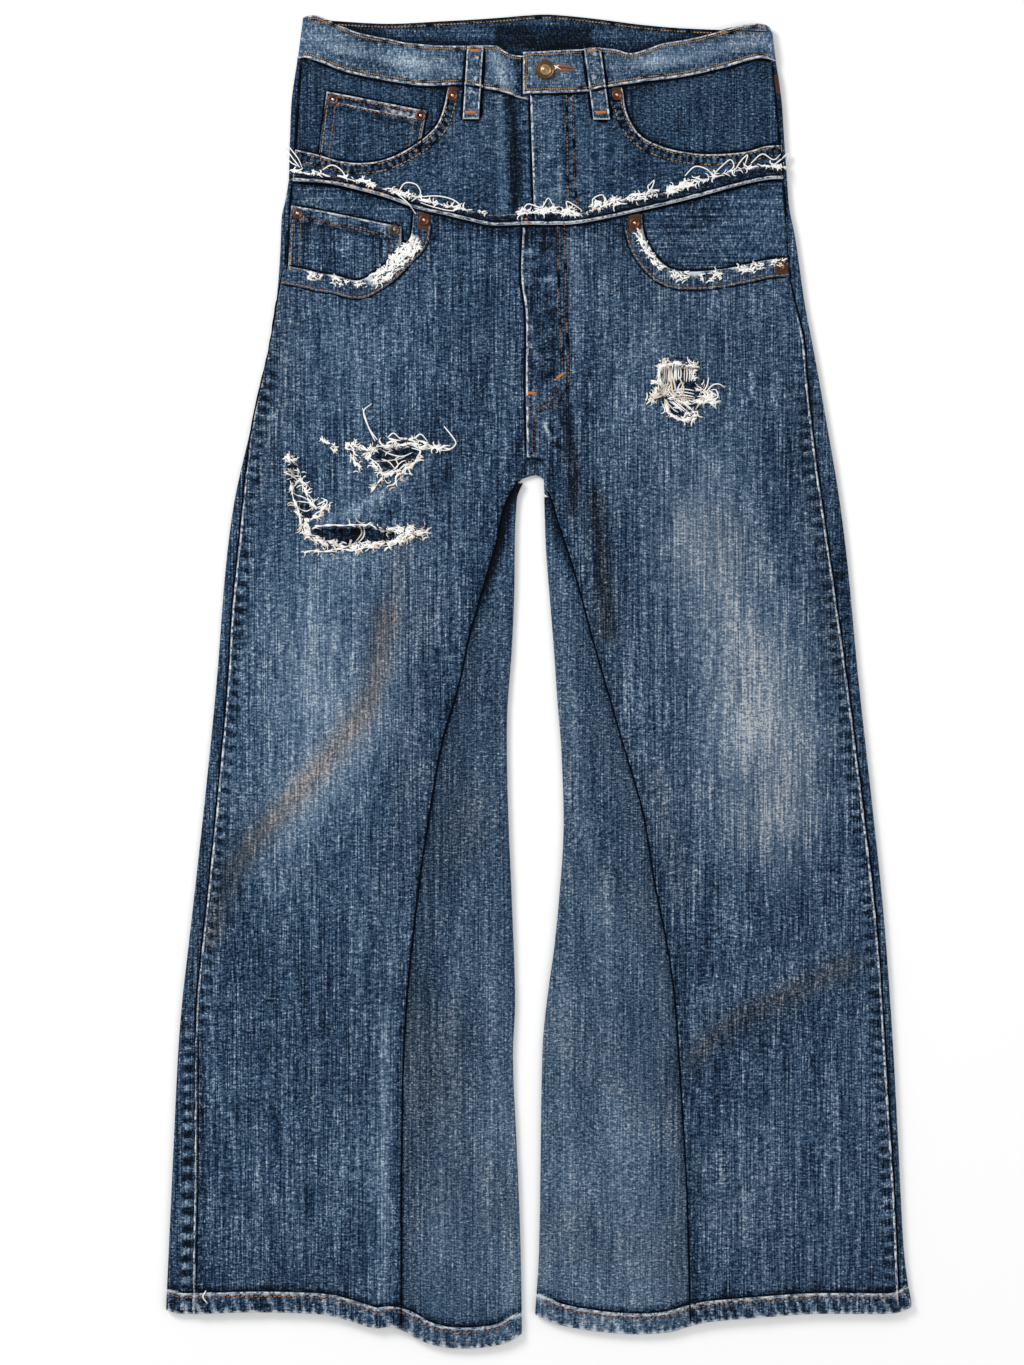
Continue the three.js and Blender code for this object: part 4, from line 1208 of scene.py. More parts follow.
def godet_tones(side):
    def tones(x, y, on_top):
        seam, _ = inset_seam[side].measure(x, y)
        _, hem_tone, hem_worn = hem_relief(side, x, y)
        paler = {RIGHT: 0.06, LEFT: 0.09}[side] + 0.10 * smooth(-150, -520, y)
        # The flutes are painted paler on their ridges and darker in their troughs: wear, and painted light
        # and shade.
        wash = paler + 0.02 * wander(x, y, 45, 52) + 0.06 * creased(FLUTES[side], x, y) + hem_tone
        # Painted shade beside the seam, where the godet comes out from under the front's edge.
        shade = {RIGHT: 0.75, LEFT: 0.35}[side] * smooth(40, 120, y)
        wash = wash - 0.17 * near(seam, 7) - 0.05 * near(seam, 30) - shade * near(seam, 13)
        worn = hem_worn + 0.3 * (1 - on_top) * near(seam, 2)
        dirt = 0.12 + 0.25 * near(seam, 34) + 0.15 * blots(x, y, 60, 53)
        dirt = dirt * smooth(110, 20, y)
        if side == RIGHT:
            dirt = dirt + 0.45 * glow(x, y, (-62, -120), (20, 42))
            dirt = dirt + 0.45 * glow(x, y, (-88, -345), (26, 60))
        return {"wash": wash, "worn": np.clip(worn, 0, 1), "dirt": np.clip(dirt, 0, 1)}
    return tones


for side, word in SIDES.items():
    folded_cloth(
        f"godet_{word}", leg_rows(GODET_TOP[side]),
        lambda y, side=side: godet_seam[side](y) - side * GAP, inner[side],
        lambda y, side=side: godet_seam[side](y) + side * UNDERLAP,
        back_under, godet_relief(side), godet_tones(side),
        lambda x, y, side=side: hem_warp(side, x, y), columns=(12, 8, 40),
        material=denim_grey,
    )

# %% [markdown]
# ## Behind the pocket openings
# A scooped pocket opening shows the facing behind it, and on the wearer's right a small coin
# pocket sewn to the facing. The outer pair's facings were cut across the grain, so their pale
# slubs run sideways; the material's grain is turned a quarter for them.

# %% Facings
FACING = FOLD_TOP - CLOTH


def between(bottom, top):
    """An outline up one curve and back along another, each given by a few points."""
    low, high = path(bottom, 3), path(top, 3)
    return np.vstack([low, high[::-1]])


def facing_tones(key, level):
    def tones(x, y, rim):
        edge, _ = scoop_line[key].measure(x, y)
        # Painted shade under the opening's edge, under the band or the join above, and by the coin pocket's
        # top.
        shade = -0.20 * near(edge, 5) - 0.07 * near(edge, 12)
        top = ridge(x) if key[0] == "lower" else band_bottom[key[1]](x)
        shade = shade - 0.16 * smooth(9, 0, top - y)
        if key[1] == RIGHT:
            coin = coin_tops["coin_pocket_upper" if key[0] == "upper" else "coin_pocket"]
            shade = shade - 0.22 * near(coin.measure(x, y)[0], 5)
        wash = level + shade + 0.035 * wander(x, y, 26, 61) + 0.02 * wander(x, y, 9, 62)
        return {"wash": wash, "worn": np.zeros(len(x)),
                "dirt": 0.2 * blots(x, y, 40, 63)}
    return tones


def resting(base):
    def height(x, y, rim):
        return base + 0.12 * wander(x, y, 16, 64) - 0.2 * np.exp(-(rim**2))
    return height


def edge_points(curve, xs, drop):
    return [(x, float(curve(x)) - drop) for x in xs]


# %% Coin pockets
COIN = {
    "coin_pocket_upper": (
        [(-194, 457), (-170, 449), (-146, 449), (-122, 455), (-106, 464)],
        [(-186.5, 518), (-165, 514), (-143, 509.5), (-120, 505), (-99, 501)]),
    "coin_pocket": (
        [(-220.5, 360), (-195, 350), (-165, 345), (-140, 351), (-121, 369)],
        [(-217.6, 418), (-195, 414), (-170, 409), (-145, 404), (-121, 399)]),
}


def coin_height(top_line):
    def height(x, y, rim):
        from_top, along = top_line.measure(x, y)
        folded = smooth(13.5, 12.3, from_top)
        gape = 0.7 * bell(along - 48, 26) * smooth(16, 0, from_top)
        return FRONT + CLOTH + 0.7 * folded + gape + 0.12 * wander(x, y, 14, 66) - 0.4 * bell(rim, 0.9)
    return height


def coin_tones(top_line, key, level):
    def tones(x, y, rim):
        from_top, along = top_line.measure(x, y)
        seam = smooth(2.4, 0.6, rim)
        puckered = np.sin(math.tau * (y / 7.5)) * near(np.abs(rim - 5.5), 4.5) * smooth(13, 16, from_top)
        # A line of painted shade where the turned top steps down; on the lower pocket, painted highlights
        # and shade along the puffs of its rolled top, and on the upper a darker band in its top.
        fold = -0.20 * bell(from_top - 13.4, 1.6)
        if key[0] == "lower":
            puffs = 0.5 + 0.5 * np.sin(along / 4.2 + 1.4 * np.sin(along / 9))
            fold = fold + bell(from_top - 4, 3.2) * (0.42 * puffs - 0.12)
        else:
            fold = fold - 0.16 * bell(from_top - 4.5, 2.2)
        wash = level + 0.04 * wander(x, y, 22, 67) + fold + 0.10 * puckered - 0.04 * near(rim, 10)
        # Painted shade by the opening's edge, which lies over the pocket.
        wash = wash - 0.15 * near(scoop_line[key].measure(x, y)[0], 6)
        worn = 1.1 * seam * (0.85 + 0.3 * wander(x, y, 8, 68))
        bare_tab = smooth(33, 31, np.abs(along - 66) * 2) * near(np.abs(from_top - 6.5), 5.5)
        worn = worn + (0.5 + 0.5 * wander(x, y, 2.6, 70)) * bare_tab * (key[0] == "upper")
        return {"wash": wash, "worn": worn, "dirt": 0.2 * blots(x, y, 30, 69)}
    return tones


coin_tops = {name: Line(top) for name, (bottom, top) in COIN.items()}
facings = {
    "pocket_facing_upper_right": (
        ("upper", RIGHT), [(-214, 452), (-180, 446), (-150, 444), (-120, 452), (-95, 466), (-76, 482)],
        [(-208, 545.5), *edge_points(band_bottom[RIGHT], (-192, -171, -150, -122, -101, -68), 0.3)]),
    "pocket_facing_upper_left": (
        ("upper", LEFT), [(212, 456), (190, 452), (150, 450), (118, 453), (92, 464), (68, 482)],
        [(204, 544), *edge_points(band_bottom[LEFT], (185, 163, 140, 120, 91, 62), 0.3)]),
    "pocket_facing_right": (
        ("lower", RIGHT), [(-223, 350), (-195, 345), (-160, 339), (-135, 346), (-112, 362), (-99, 382)],
        [(-217, 438.5), *edge_points(ridge, (-195, -170, -145, -120, -98), 0.8)]),
    "pocket_facing_left": (
        ("lower", LEFT), [(219, 358), (190, 353), (150, 347), (118, 348), (92, 360), (78, 382)],
        [(214, 441), *edge_points(ridge, (195, 170, 145, 110, 78), 0.8)]),
}
for name, (key, bottom, top) in facings.items():
    level, slot = {"upper": (-0.03, "denim_upper"), "lower": (0.02, "denim_lower")}[key[0]]
    flat_cloth(name, between(bottom, top), resting(FACING + CLOTH), facing_tones(key, level),
               step=2.8, rings=(1.2, 2.6),
               material=denim_waist if key[0] == "upper" else denim_across)
for name, (bottom, top) in COIN.items():
    key = ("upper" if "upper" in name else "lower", RIGHT)
    flat_cloth(name, between(bottom, top), coin_height(coin_tops[name]),
               coin_tones(coin_tops[name], key, -0.02), step=1.9, rings=(0.9, 2.0, 3.4, 5.2),
               material=denim_waist if key[0] == "upper" else denim)

# %% [markdown]
# ## The second waist
# Only the top of the inner pair shows: 15 cm and its waistband. Its fronts run down behind the
# frayed edge. The left front laps over the right at the fly, whose edge is rubbed white. Beside
# it the zip's guard shows as a strip, with a gutter of painted shade and a painted highlight on
# the roll of the right front.

# %% The fronts of the second waist
upper_fly = Line(points_of(fly_upper(np.linspace(400, 522, 30)), np.linspace(400, 522, 30)))


def upper_raised(side, x):
    return LAYER * (smooth(-70, -100, x) if side == RIGHT else smooth(60, 20, x))


WAIST_CREASES = {
    RIGHT: [
        ([(-34, 518), (-28, 480), (-27, 405)], 5, 1.1),
        ([(-20, 514), (-19, 470), (-19, 404)], 4, -0.7),
        ([(-66, 500), (-62, 460), (-70, 420)], 10, 0.6),
        ([(-200, 450), (-150, 440), (-100, 448)], 6, 0.5),
    ],
    LEFT: [
        ([(30, 500), (40, 470), (36, 420)], 9, 0.5),
        ([(76, 470), (70, 450), (90, 430)], 8, 0.6),
        ([(110, 452), (150, 450), (200, 456)], 6, 0.4),
    ],
}
FLY_STITCH = 31.5  # how far the fly's outer row of stitches is from its edge
FLY_PUCKER = 7.2
POCKET_PUCKER = 5.6


def waist_height(side):
    def height(x, y, rim):
        z = FRONT + CLOTH + upper_raised(side, x) + creased(WAIST_CREASES[side], x, y)
        z = z + 0.3 * puckers(scoop_line["upper", side], x, y, POCKET_PUCKER, 4.5, 5.5)
        z = z + 0.12 * wander(x, y, 15, 71) - 0.45 * bell(rim, 0.9)
        if side == LEFT:
            z = z + 0.28 * puckers(upper_fly, x, y, FLY_PUCKER, 4.5, FLY_STITCH + 3)
        return z
    return height


def waist_tones(side):
    def tones(x, y, rim):
        pocket, _ = scoop_line["upper", side].measure(x, y)
        pucker = puckers(scoop_line["upper", side], x, y, POCKET_PUCKER, 4.5, 5.5)
        # Creases painted paler on their ridges and darker in their troughs, and the puckers beside the
        # opening painted light on top and dark in their hollows: wear, and painted light and shade.
        wash = 0.04 * wander(x, y, 30, 72) + 0.11 * creased(WAIST_CREASES[side], x, y)
        wash = wash + 0.32 * pucker - 0.14 * near(np.abs(pocket - 5.5), 7)
        # Painted shade under the waistband and under the frayed join.
        wash = wash - 0.2 * smooth(7, 0, band_bottom[side](x) - y) - 0.12 * smooth(6, 0, y - raw_edge(x))
        worn = near(pocket, 1.7)
        fly, _ = upper_fly.measure(x, y)
        if side == LEFT:
            placket = smooth(FLY_STITCH, FLY_STITCH - 8, fly)
            stitched = near(np.abs(fly - FLY_STITCH), 6)
            wash = wash + placket * (0.12 + 0.08 * wander(x, y, 7, 73)) - 0.12 * stitched
            # The fly's puckers, painted light on top and dark in their hollows.
            wash = wash + 0.26 * puckers(upper_fly, x, y, FLY_PUCKER, 4.5, FLY_STITCH + 3)
            worn = worn + 1.1 * near(fly, 2.6) * (0.85 + 0.3 * wander(x, y, 7, 74))
            worn = worn + 0.22 * placket * blots(x, y, 8, 75)
        else:
            gutter = x - fly_upper(y)
            # Painted shade in the gutter where the right front rolls under the fly, a painted highlight on
            # the roll, and painted shade at the fly's edge.
            wash = wash - 0.34 * bell(gutter + 17, 6) + 0.16 * bell(gutter + 27, 5)
            guard = bell(gutter + 6.5, 3.5)
            wash = wash + guard * (0.04 + 0.14 * np.sin(math.tau * y / 8.5))
            wash = wash - 0.25 * near(np.abs(gutter), 2.5)
        return {"wash": wash, "worn": np.clip(worn, 0, 1.2),
                "dirt": 0.2 * blots(x, y, 50, 76)}
    return tones


def waist_outline(side, step=1.9):
    lap = FLY_LAP if side == RIGHT else 0
    pocket = path(scoop["upper", side][::2], 1.4)
    pocket = pocket[pocket[:, 1] < band_bottom[side](pocket[:, 0]) - 1.6]
    start, end = float(pocket[-1][0]), float(fly_upper(515)) + lap
    x = np.linspace(start, end, int(abs(end - start) / step))[1:]
    reach = np.minimum(x, -9.0) if side == RIGHT else x
    top = points_of(x, band_bottom[side](reach) - 0.3)
    rows = np.arange(top[-1][1] - step, 404, -step)
    fly = points_of(fly_upper(rows) + lap, rows)
    start, end = float(fly_upper(402)) + lap, float(side_seam["upper", side](441))
    x = np.linspace(start, end, int(abs(end - start) / step))
    bottom = points_of(x, ridge(x) + 0.5)
    return np.vstack([pocket, top, fly, bottom])


for side, word in SIDES.items():
    flat_cloth(f"front_upper_{word}", waist_outline(side), waist_height(side), waist_tones(side),
               step=1.9, rings=(0.8, 1.7, 2.8, 4.0, 5.2, 6.4, 7.6),
               material=denim_waist)

# %% [markdown]
# ## The frayed join
# The outer pair lost its waistband: its cut top edge stands a finger's width above the seam
# that joins the two waists. It was never in the sun, so it is still dark, with a rubbed ridge
# along the seam below and a raw edge above that sheds its white weft.

# %% The strips of the join
ridge_line, raw_line = (
    Line(points_of(across, curve(across)))
    for curve, across in ((ridge, np.linspace(-219, 217, 170)), (raw_edge, np.linspace(-218, 217, 170)))
)


def strip_height(side):
    def height(x, y, rim):
        z = FRONT + CLOTH + upper_raised(side, x) + LAYER
        seam, along = ridge_line.measure(x, y)
        z = z + 0.7 * bell(seam - 1.3, 0.9) + 0.25 * np.sin(along / 3.1) * near(seam, 6)
        return z + 0.35 * wander(x, y, 18, 81) * smooth(2, 8, seam) - 0.4 * bell(rim, 0.8)
    return height


def strip_tones(x, y, rim):
    seam, along = ridge_line.measure(x, y)
    raw, _ = raw_line.measure(x, y)
    lightness = np.clip(0.9 + 0.4 * wander(x, y, 34, 83), 0.5, 1.2)
    wash = -0.19 + 0.06 * wander(x, y, 8, 82) + 0.06 * np.sin(along / 1.9) * near(raw, 5)
    worn = 1.3 * bell(seam - 1.0, 0.85) * lightness + 0.5 * near(raw, 2.0)
    return {"wash": wash, "worn": worn, "dirt": 0.2 * np.ones(len(x))}


for side, word, start, end in ((RIGHT, "right", -216, -16.5), (LEFT, "left", -15.5, 214)):
    x = np.linspace(start, end, 90)
    nibbles = points_of(wander(x, x, 3, 84), wander(x, x, 4, 85))
    torn = points_of(x, raw_edge(x)) + 0.5 * nibbles
    sewn = points_of(x, ridge(x) - 0.6)
    flat_cloth(f"join_strip_{word}", np.vstack([sewn, torn[::-1]]), strip_height(side), strip_tones,
               step=2.2, rings=(0.9, 2.0), material=denim_raw)

# %% [markdown]
# ## The waistband
# The band is one doubled length of cloth, from the right front round the back to the button
# end on the left. It is a grid of stations along the band, each a short column from its lower
# to its top edge. Its topstitching pulls both edges tight, and they have worn white.

# %% The waistband's stations
band_middle = {"front": BAND_FRONT + BAND / 2, "back": SEAT + BAND / 2}
band_bend = (band_middle["front"] - band_middle["back"]) / 2
band_out = band_bend + BAND / 2
ACROSS = np.array([0, 0.03, 0.06, 0.095, 0.14, 0.2, 0.27, 0.35, 0.43, 0.5])
ACROSS = np.r_[ACROSS, 1 - ACROSS[-2::-1]]


BAND_STEP = 2.8  # from one station to the next
BEND_STATIONS = 5


def stretch(bottom, top, lows, highs, height):
    """Stations along a flat part of the band, between two places on each of its edges."""
    count = int(abs(lows[1] - lows[0]) / BAND_STEP)
    low, high = np.linspace(*lows, count), np.linspace(*highs, count)
    return points_of(low, bottom(low), high, top(high), height(low))


def bend(side, low, high, low_y, high_y, upward):
    """Stations where the band folds round the side, from its front down to its back or upward."""
    angles = np.linspace(0, math.pi, BEND_STATIONS + 2)[1:-1]
    reach = band_bend * np.sin(angles) - band_out
    way = -1 if upward else 1
    z = (band_middle["front"] + band_middle["back"]) / 2 + band_bend * np.cos(angles) * way
    full = np.ones(len(angles))
    return points_of(low + side * reach, low_y * full, high + side * reach, high_y * full, z)


stations = np.vstack([
    stretch(band_bottom[RIGHT], band_top[RIGHT], (-9, -212 + band_out), (-9, -207.5 + band_out),
            lambda x: np.full(len(x), band_middle["front"])),
    bend(RIGHT, -212, -207.5, 547.5, 583, False),
    stretch(back_band_bottom, back_band_top, (-212 + band_out, 208 - band_out),
            (-207.5 + band_out, 205 - band_out), lambda x: np.full(len(x), band_middle["back"])),
    bend(LEFT, 208, 205, 545, 571, True),
    stretch(band_bottom[LEFT], band_top[LEFT], (208 - band_out, -14), (205 - band_out, -14),
            lambda x: band_middle["front"] + (BAND + GAP) * smooth(45, 15, x)),
])
front_right_count = int((212 - band_out - 9) / BAND_STEP)
back_start_at = front_right_count + BEND_STATIONS
back_end_at = back_start_at + int((420 - 2 * band_out) / BAND_STEP)
part = np.zeros(len(stations))
part[back_start_at:back_end_at] = 1  # the back, whose inner face shows
part[back_end_at:] = 2

low, high = stations[:, None, :2], stations[:, None, 2:4]
xy = low + (high - low) * ACROSS[None, :, None]
x, y = xy[..., 0].ravel(), xy[..., 1].ravel()
z = np.repeat(stations[:, 4], len(ACROSS))
part = np.repeat(part, len(ACROSS))
width = np.repeat(np.linalg.norm(stations[:, 2:4] - stations[:, :2], axis=1), len(ACROSS))
from_low = np.tile(ACROSS, len(stations)) * width
from_high = width - from_low
to_edge = np.minimum(from_low, from_high)

# %% The waistband's creases and tones
BAND_CREASES = [
    ([(-205, 566), (-150, 550), (-90, 540), (-40, 538)], 5, 0.8),
    ([(-205, 558), (-160, 545), (-110, 533)], 2.6, -1.0),
    ([(-46, 560), (-36, 540), (-26, 512)], 5, 1.2),
    ([(-22, 552), (-17, 532), (-14, 510)], 5, -0.9),
    ([(70, 540), (120, 546), (190, 562)], 5, 0.8),
    ([(60, 532), (120, 538), (200, 556)], 2.6, -1.0),
]
on_front = part != 1
rise = creased(BAND_CREASES, x, y) + 0.16 * wander(x, y, 12, 91)
rise = rise + 0.10 * np.sin(x / 1.05) * near(np.abs(to_edge - 3), 4) - 0.3 * bell(to_edge, 0.9)
rise = rise - 0.18 * bell(to_edge - 2.6, 0.9)
z_band = z + np.where(on_front, rise, 0.35 * rise)
label_place = smooth(-39, -37, x) * smooth(47, 45, x) * smooth(555, 558, y) * smooth(578, 575, y)
tucked = bell(x + 17, 5.5) * (part == 0)
shade_under_front = np.where(x < -9, band_top[RIGHT](x), band_top[LEFT](x))
wash_and_shade_front = 0.14 + 0.05 * smooth(60, 100, x) + 0.07 * wander(x, y, 26, 92)
# Creases painted paler on their ridges and darker in their troughs, and painted shade in the band's fold by
# the fly.
wash_and_shade_front = wash_and_shade_front + 0.18 * creased(BAND_CREASES, x, y)
wash_and_shade_front = wash_and_shade_front - 0.10 * bell(to_edge - 4.2, 1.6) - 0.2 * tucked
wash_and_shade_back = -0.14 + 0.06 * wander(x, y, 20, 93) - 0.32 * label_place
wash_and_shade_back = wash_and_shade_back - 0.4 * smooth(9, 0, y - shade_under_front)
seams_inside = np.clip(np.sin(x / 4.3 + 2 * np.sin(x / 17)), 0.7, 1)
wash_and_shade_back = wash_and_shade_back + 0.10 * seams_inside * smooth(3, 8, from_high)
worn_front = near(from_low, 2.0) + 0.75 * near(from_high, 1.8) * (0.8 + 0.5 * wander(x, y, 10, 94))
worn_front = worn_front + 0.8 * near(np.abs(x + 13.3), 2.2) * (part == 2)
worn_back = 0.3 * near(from_high, 1.5)
marks = {
    "wash": np.where(on_front, wash_and_shade_front, wash_and_shade_back),
    "worn": np.clip(np.where(on_front, worn_front, worn_back), 0, 1.2),
    "dirt": 0.18 * blots(x, y, 40, 95),
}
faces = grid_faces(len(stations), len(ACROSS))
points = points_of(x, y, z_band)
waistband = make_object("waistband", points, faces, denim_band, marks, BAND, 0.0)
finish_cloth("waistband", points, faces)
tops[-1] = (points + (0, 0, BAND / 2), faces)

# %% [markdown]
# ## Belt loops and back pockets
# A belt loop is a pressed double strip tacked over the band, its edges worn white and its
# middle speckled. The back pockets and back loops lie underneath, and carry the weight.

# %% Belt loops
LOOPS = {  # top and bottom middle points, width
    "belt_loop_right": ((-56, 557), (-60, 493.5), 14),
    "belt_loop_left": ((46.5, 557), (55, 493), 14.5),
    "belt_loop_back": ((-3, 584), (-3, 520), 14),
    "belt_loop_back_right": ((-128, 577), (-128, 517), 14),
    "belt_loop_back_left": ((122, 573), (122, 513), 14),
}


def loop_outline(top, bottom, width, step=1.8):
    corners = [(bottom[0] - width / 2, bottom[1]), (bottom[0] + width / 2, bottom[1]),
               (top[0] + width / 2, top[1]), (top[0] - width / 2, top[1])]
    return straight_sides(corners, step)


for name, (top, bottom, wide) in LOOPS.items():
    in_front = "back" not in name
    thickness = 2.0 if in_front else CLOTH

    def height(x, y, rim):
        arch = math.pi * (y - bottom[1]) / (top[1] - bottom[1])
        base = LOOP_UNDER + thickness + 0.8 * np.sin(np.clip(arch, 0, math.pi)) if in_front else CLOTH
        return base + 0.25 * bell(rim - 2.2, 1.2) * in_front - 0.3 * bell(rim, 0.8) * in_front

    def tones(x, y, rim):
        speckle = np.clip(wander(x, y, 3.2, 101), 0, 1.5)
        return {"wash": 0.10 - 0.10 * bell(rim - 2.6, 1.1) + 0.05 * wander(x, y, 9, 102),
                "worn": 1.1 * near(rim, 1.9) + 0.45 * speckle * smooth(2, 4, rim),
                "dirt": 0.15 * np.ones(len(x))}

    flat_cloth(name, loop_outline(top, bottom, wide), height, tones, step=1.7,
               rings=(0.7, 1.5, 2.6), thickness=thickness, material=denim_band)

# %% Back pockets and the strip across the back
def pocket_outline(centre, half=72, top=348, bottom=188, point=22):
    corners = [(centre - 0.9 * half, bottom + point), (centre, bottom),
               (centre + 0.9 * half, bottom + point), (centre + half, top), (centre - half, top)]
    return straight_sides(corners, 3.2)


def under_tones(level):
    def tones(x, y, rim):
        puckered = 0.10 * np.sin(math.tau * (x + y) / 9) * near(np.abs(rim - 5), 4)
        return {"wash": level + puckered + 0.05 * wander(x, y, 30, 111), "worn": 0.7 * near(rim, 1.8),
                "dirt": 0.15 * blots(x, y, 40, 112)}
    return tones


for name, centre in (("back_pocket_right", -112), ("back_pocket_left", 108)):
    flat_cloth(name, pocket_outline(centre), lambda x, y, rim: CLOTH + 0 * x, under_tones(0.05),
               step=3.4, rings=(1.2, 2.6, 5.0))
x = np.linspace(-214, 211, 160)
torn = points_of(x, 450 + 0.6 * wander(x, x, 4, 113))
sewn = points_of(x, np.full(len(x), BACK_EDGE - 1.0))
flat_cloth("join_strip_back", np.vstack([sewn, torn[::-1]]), lambda x, y, rim: CLOTH + 0 * x,
           under_tones(-0.22), step=2.4, rings=(1.0, 2.2), material=denim_raw)

# %% [markdown]
# ## Thread
# Every stitch and every loose yarn is a thin tube that lies on the cloth: a ray straight down
# finds the cloth's height under each of its points. A stitch dips into the cloth at both ends,
# as a real one does where it passes through. Tubes that share a yarn become one mesh.

# %% Tubes laid on the cloth
corners, polygons = [], []
for points, faces in tops:
    polygons += (faces + len(corners)).tolist()
    corners += points.tolist()
cloth_tree = BVHTree.FromPolygons(corners, polygons)


RAY_START = 40.0  # well clear of the cloth
OFF_THE_CLOTH = 0.3  # where a thread lies that is wholly on the floor


def laid(x, y, under=False):
    """The height of the cloth's upper face, or of its lowest face, at each point."""
    way = 1 if under else -1
    spots = [cloth_tree.ray_cast((a, b, -RAY_START * way), (0, 0, way))[0] for a, b in zip(x, y)]
    found = np.array([spot is not None for spot in spots])
    if not found.any():
        return np.full(len(spots), OFF_THE_CLOTH)
    heights = [spot[2] for spot in spots if spot is not None]
    return np.interp(np.arange(len(spots)), np.nonzero(found)[0], heights)


class Bundle:
    """Many thin tubes that become one mesh."""

    def __init__(self):
        self.points, self.faces, self.count = [], [], 0

    def tube(self, spine, radii, sides=4):
        ahead = np.gradient(spine, axis=0)
        ahead /= np.maximum(np.linalg.norm(ahead, axis=1), 1e-9)[:, None]
        across = np.cross(ahead, (0, 0, 1.0))
        across /= np.maximum(np.linalg.norm(across, axis=1), 1e-9)[:, None]
        up = np.cross(across, ahead)
        angles = np.arange(sides) * math.tau / sides
        ring = np.cos(angles)[None, :, None] * across[:, None] + np.sin(angles)[None, :, None] * up[:, None]
        self.points.append((spine[:, None] + ring * radii[:, None, None]).reshape(-1, 3))
        index = self.count + np.arange(len(spine) * sides).reshape(-1, sides)
        self.faces += ring_faces(index) + [index[0].tolist(), index[-1][::-1].tolist()]
        self.count += len(spine) * sides

    def make(self, name, material, slot="cotton_thread"):
        made = make_object(name, np.vstack(self.points), self.faces, material)
        print(f"{name}: {self.count} points")


# %% Rows of stitches
def stitches(bundle, line, length=3.0, gap=0.9, radius=0.42, under=False, level=None):
    """A row of stitches along a line. level is the cloth's height where no ray can find it."""
    spine = path(line, 1.0)
    along = lengths_to(spine)
    side = -1 if under else 1
    for start in np.arange(0, along[-1] - length, length + gap):
        places = start + length * np.array([0, 0.22, 0.78, 1])
        x, y = (np.interp(places, along, spine[:, i]) for i in (0, 1))
        z = laid(x, y, under) if level is None else np.full(4, level)
        z = z + side * radius * np.array([-0.7, 0.45, 0.45, -0.7])
        bundle.tube(points_of(x, y, z), radius * np.array([0.6, 1, 1, 0.6]))


def beside(points, distance):
    """The line moved sideways, to the left of its direction for a distance above 0."""
    ahead = np.gradient(points[:, :2], axis=0)
    ahead /= np.linalg.norm(ahead, axis=1)[:, None]
    return points[:, :2] + points_of(-ahead[:, 1], ahead[:, 0]) * distance


def over(curve, start, end, lift=0.0):
    x = np.linspace(start, end, 30)
    return points_of(x, curve(x) + lift)


def satin(bundle, centre, width, high, turn=0.0, pitch=0.75, radius=0.45):
    """A block of close stitches side by side, such as a bartack."""
    for v in np.arange(-high / 2, high / 2, pitch):
        u = np.array([-0.5, -0.3, 0.3, 0.5]) * width
        x = centre[0] + u * math.cos(turn) - v * math.sin(turn)
        y = centre[1] + u * math.sin(turn) + v * math.cos(turn)
        z = laid(x, y) + radius * np.array([-0.6, 0.6, 0.6, -0.6])
        bundle.tube(points_of(x, y, z), np.full(4, radius))


# %% [markdown]
# Each seam reads as two fine lines. One is a ridge, whose top is rubbed down to the white core
# of its yarns. The other is painted shade: a near black tube in the valley beside it, where the
# next layer goes under. Both are thin tubes laid along the seam.

# %% Ridges of the seams, and lines of painted shade beside them
ridges, shade_lines = Bundle(), Bundle()


def seam_tube(bundle, line, radius, uneven=0.3, fade=4.0, sink=0.1):
    """A tube half sunk in the cloth along a seam. uneven is how much its width comes and goes."""
    spine = path(line, 1.8)[:, :2]
    along = lengths_to(spine)
    ends = np.clip(np.minimum(along, along[-1] - along) / fade, 0.25, 1)
    radii = radius * ends * np.clip(1 + uneven * wander(*spine.T, 5, 121), 0.35, 1.4)
    z = laid(*spine.T) - sink * radius
    bundle.tube(np.column_stack([spine, z]), radii, 5)


def down_leg(curve, side, low, high, shift, step=6.0):
    """Points down a leg's seam, shifted outward, that follow the hem's curve."""
    y = np.arange(low, high, step)
    x = curve(y) + side * shift
    return points_of(x, y + hem_warp(side, x, y))


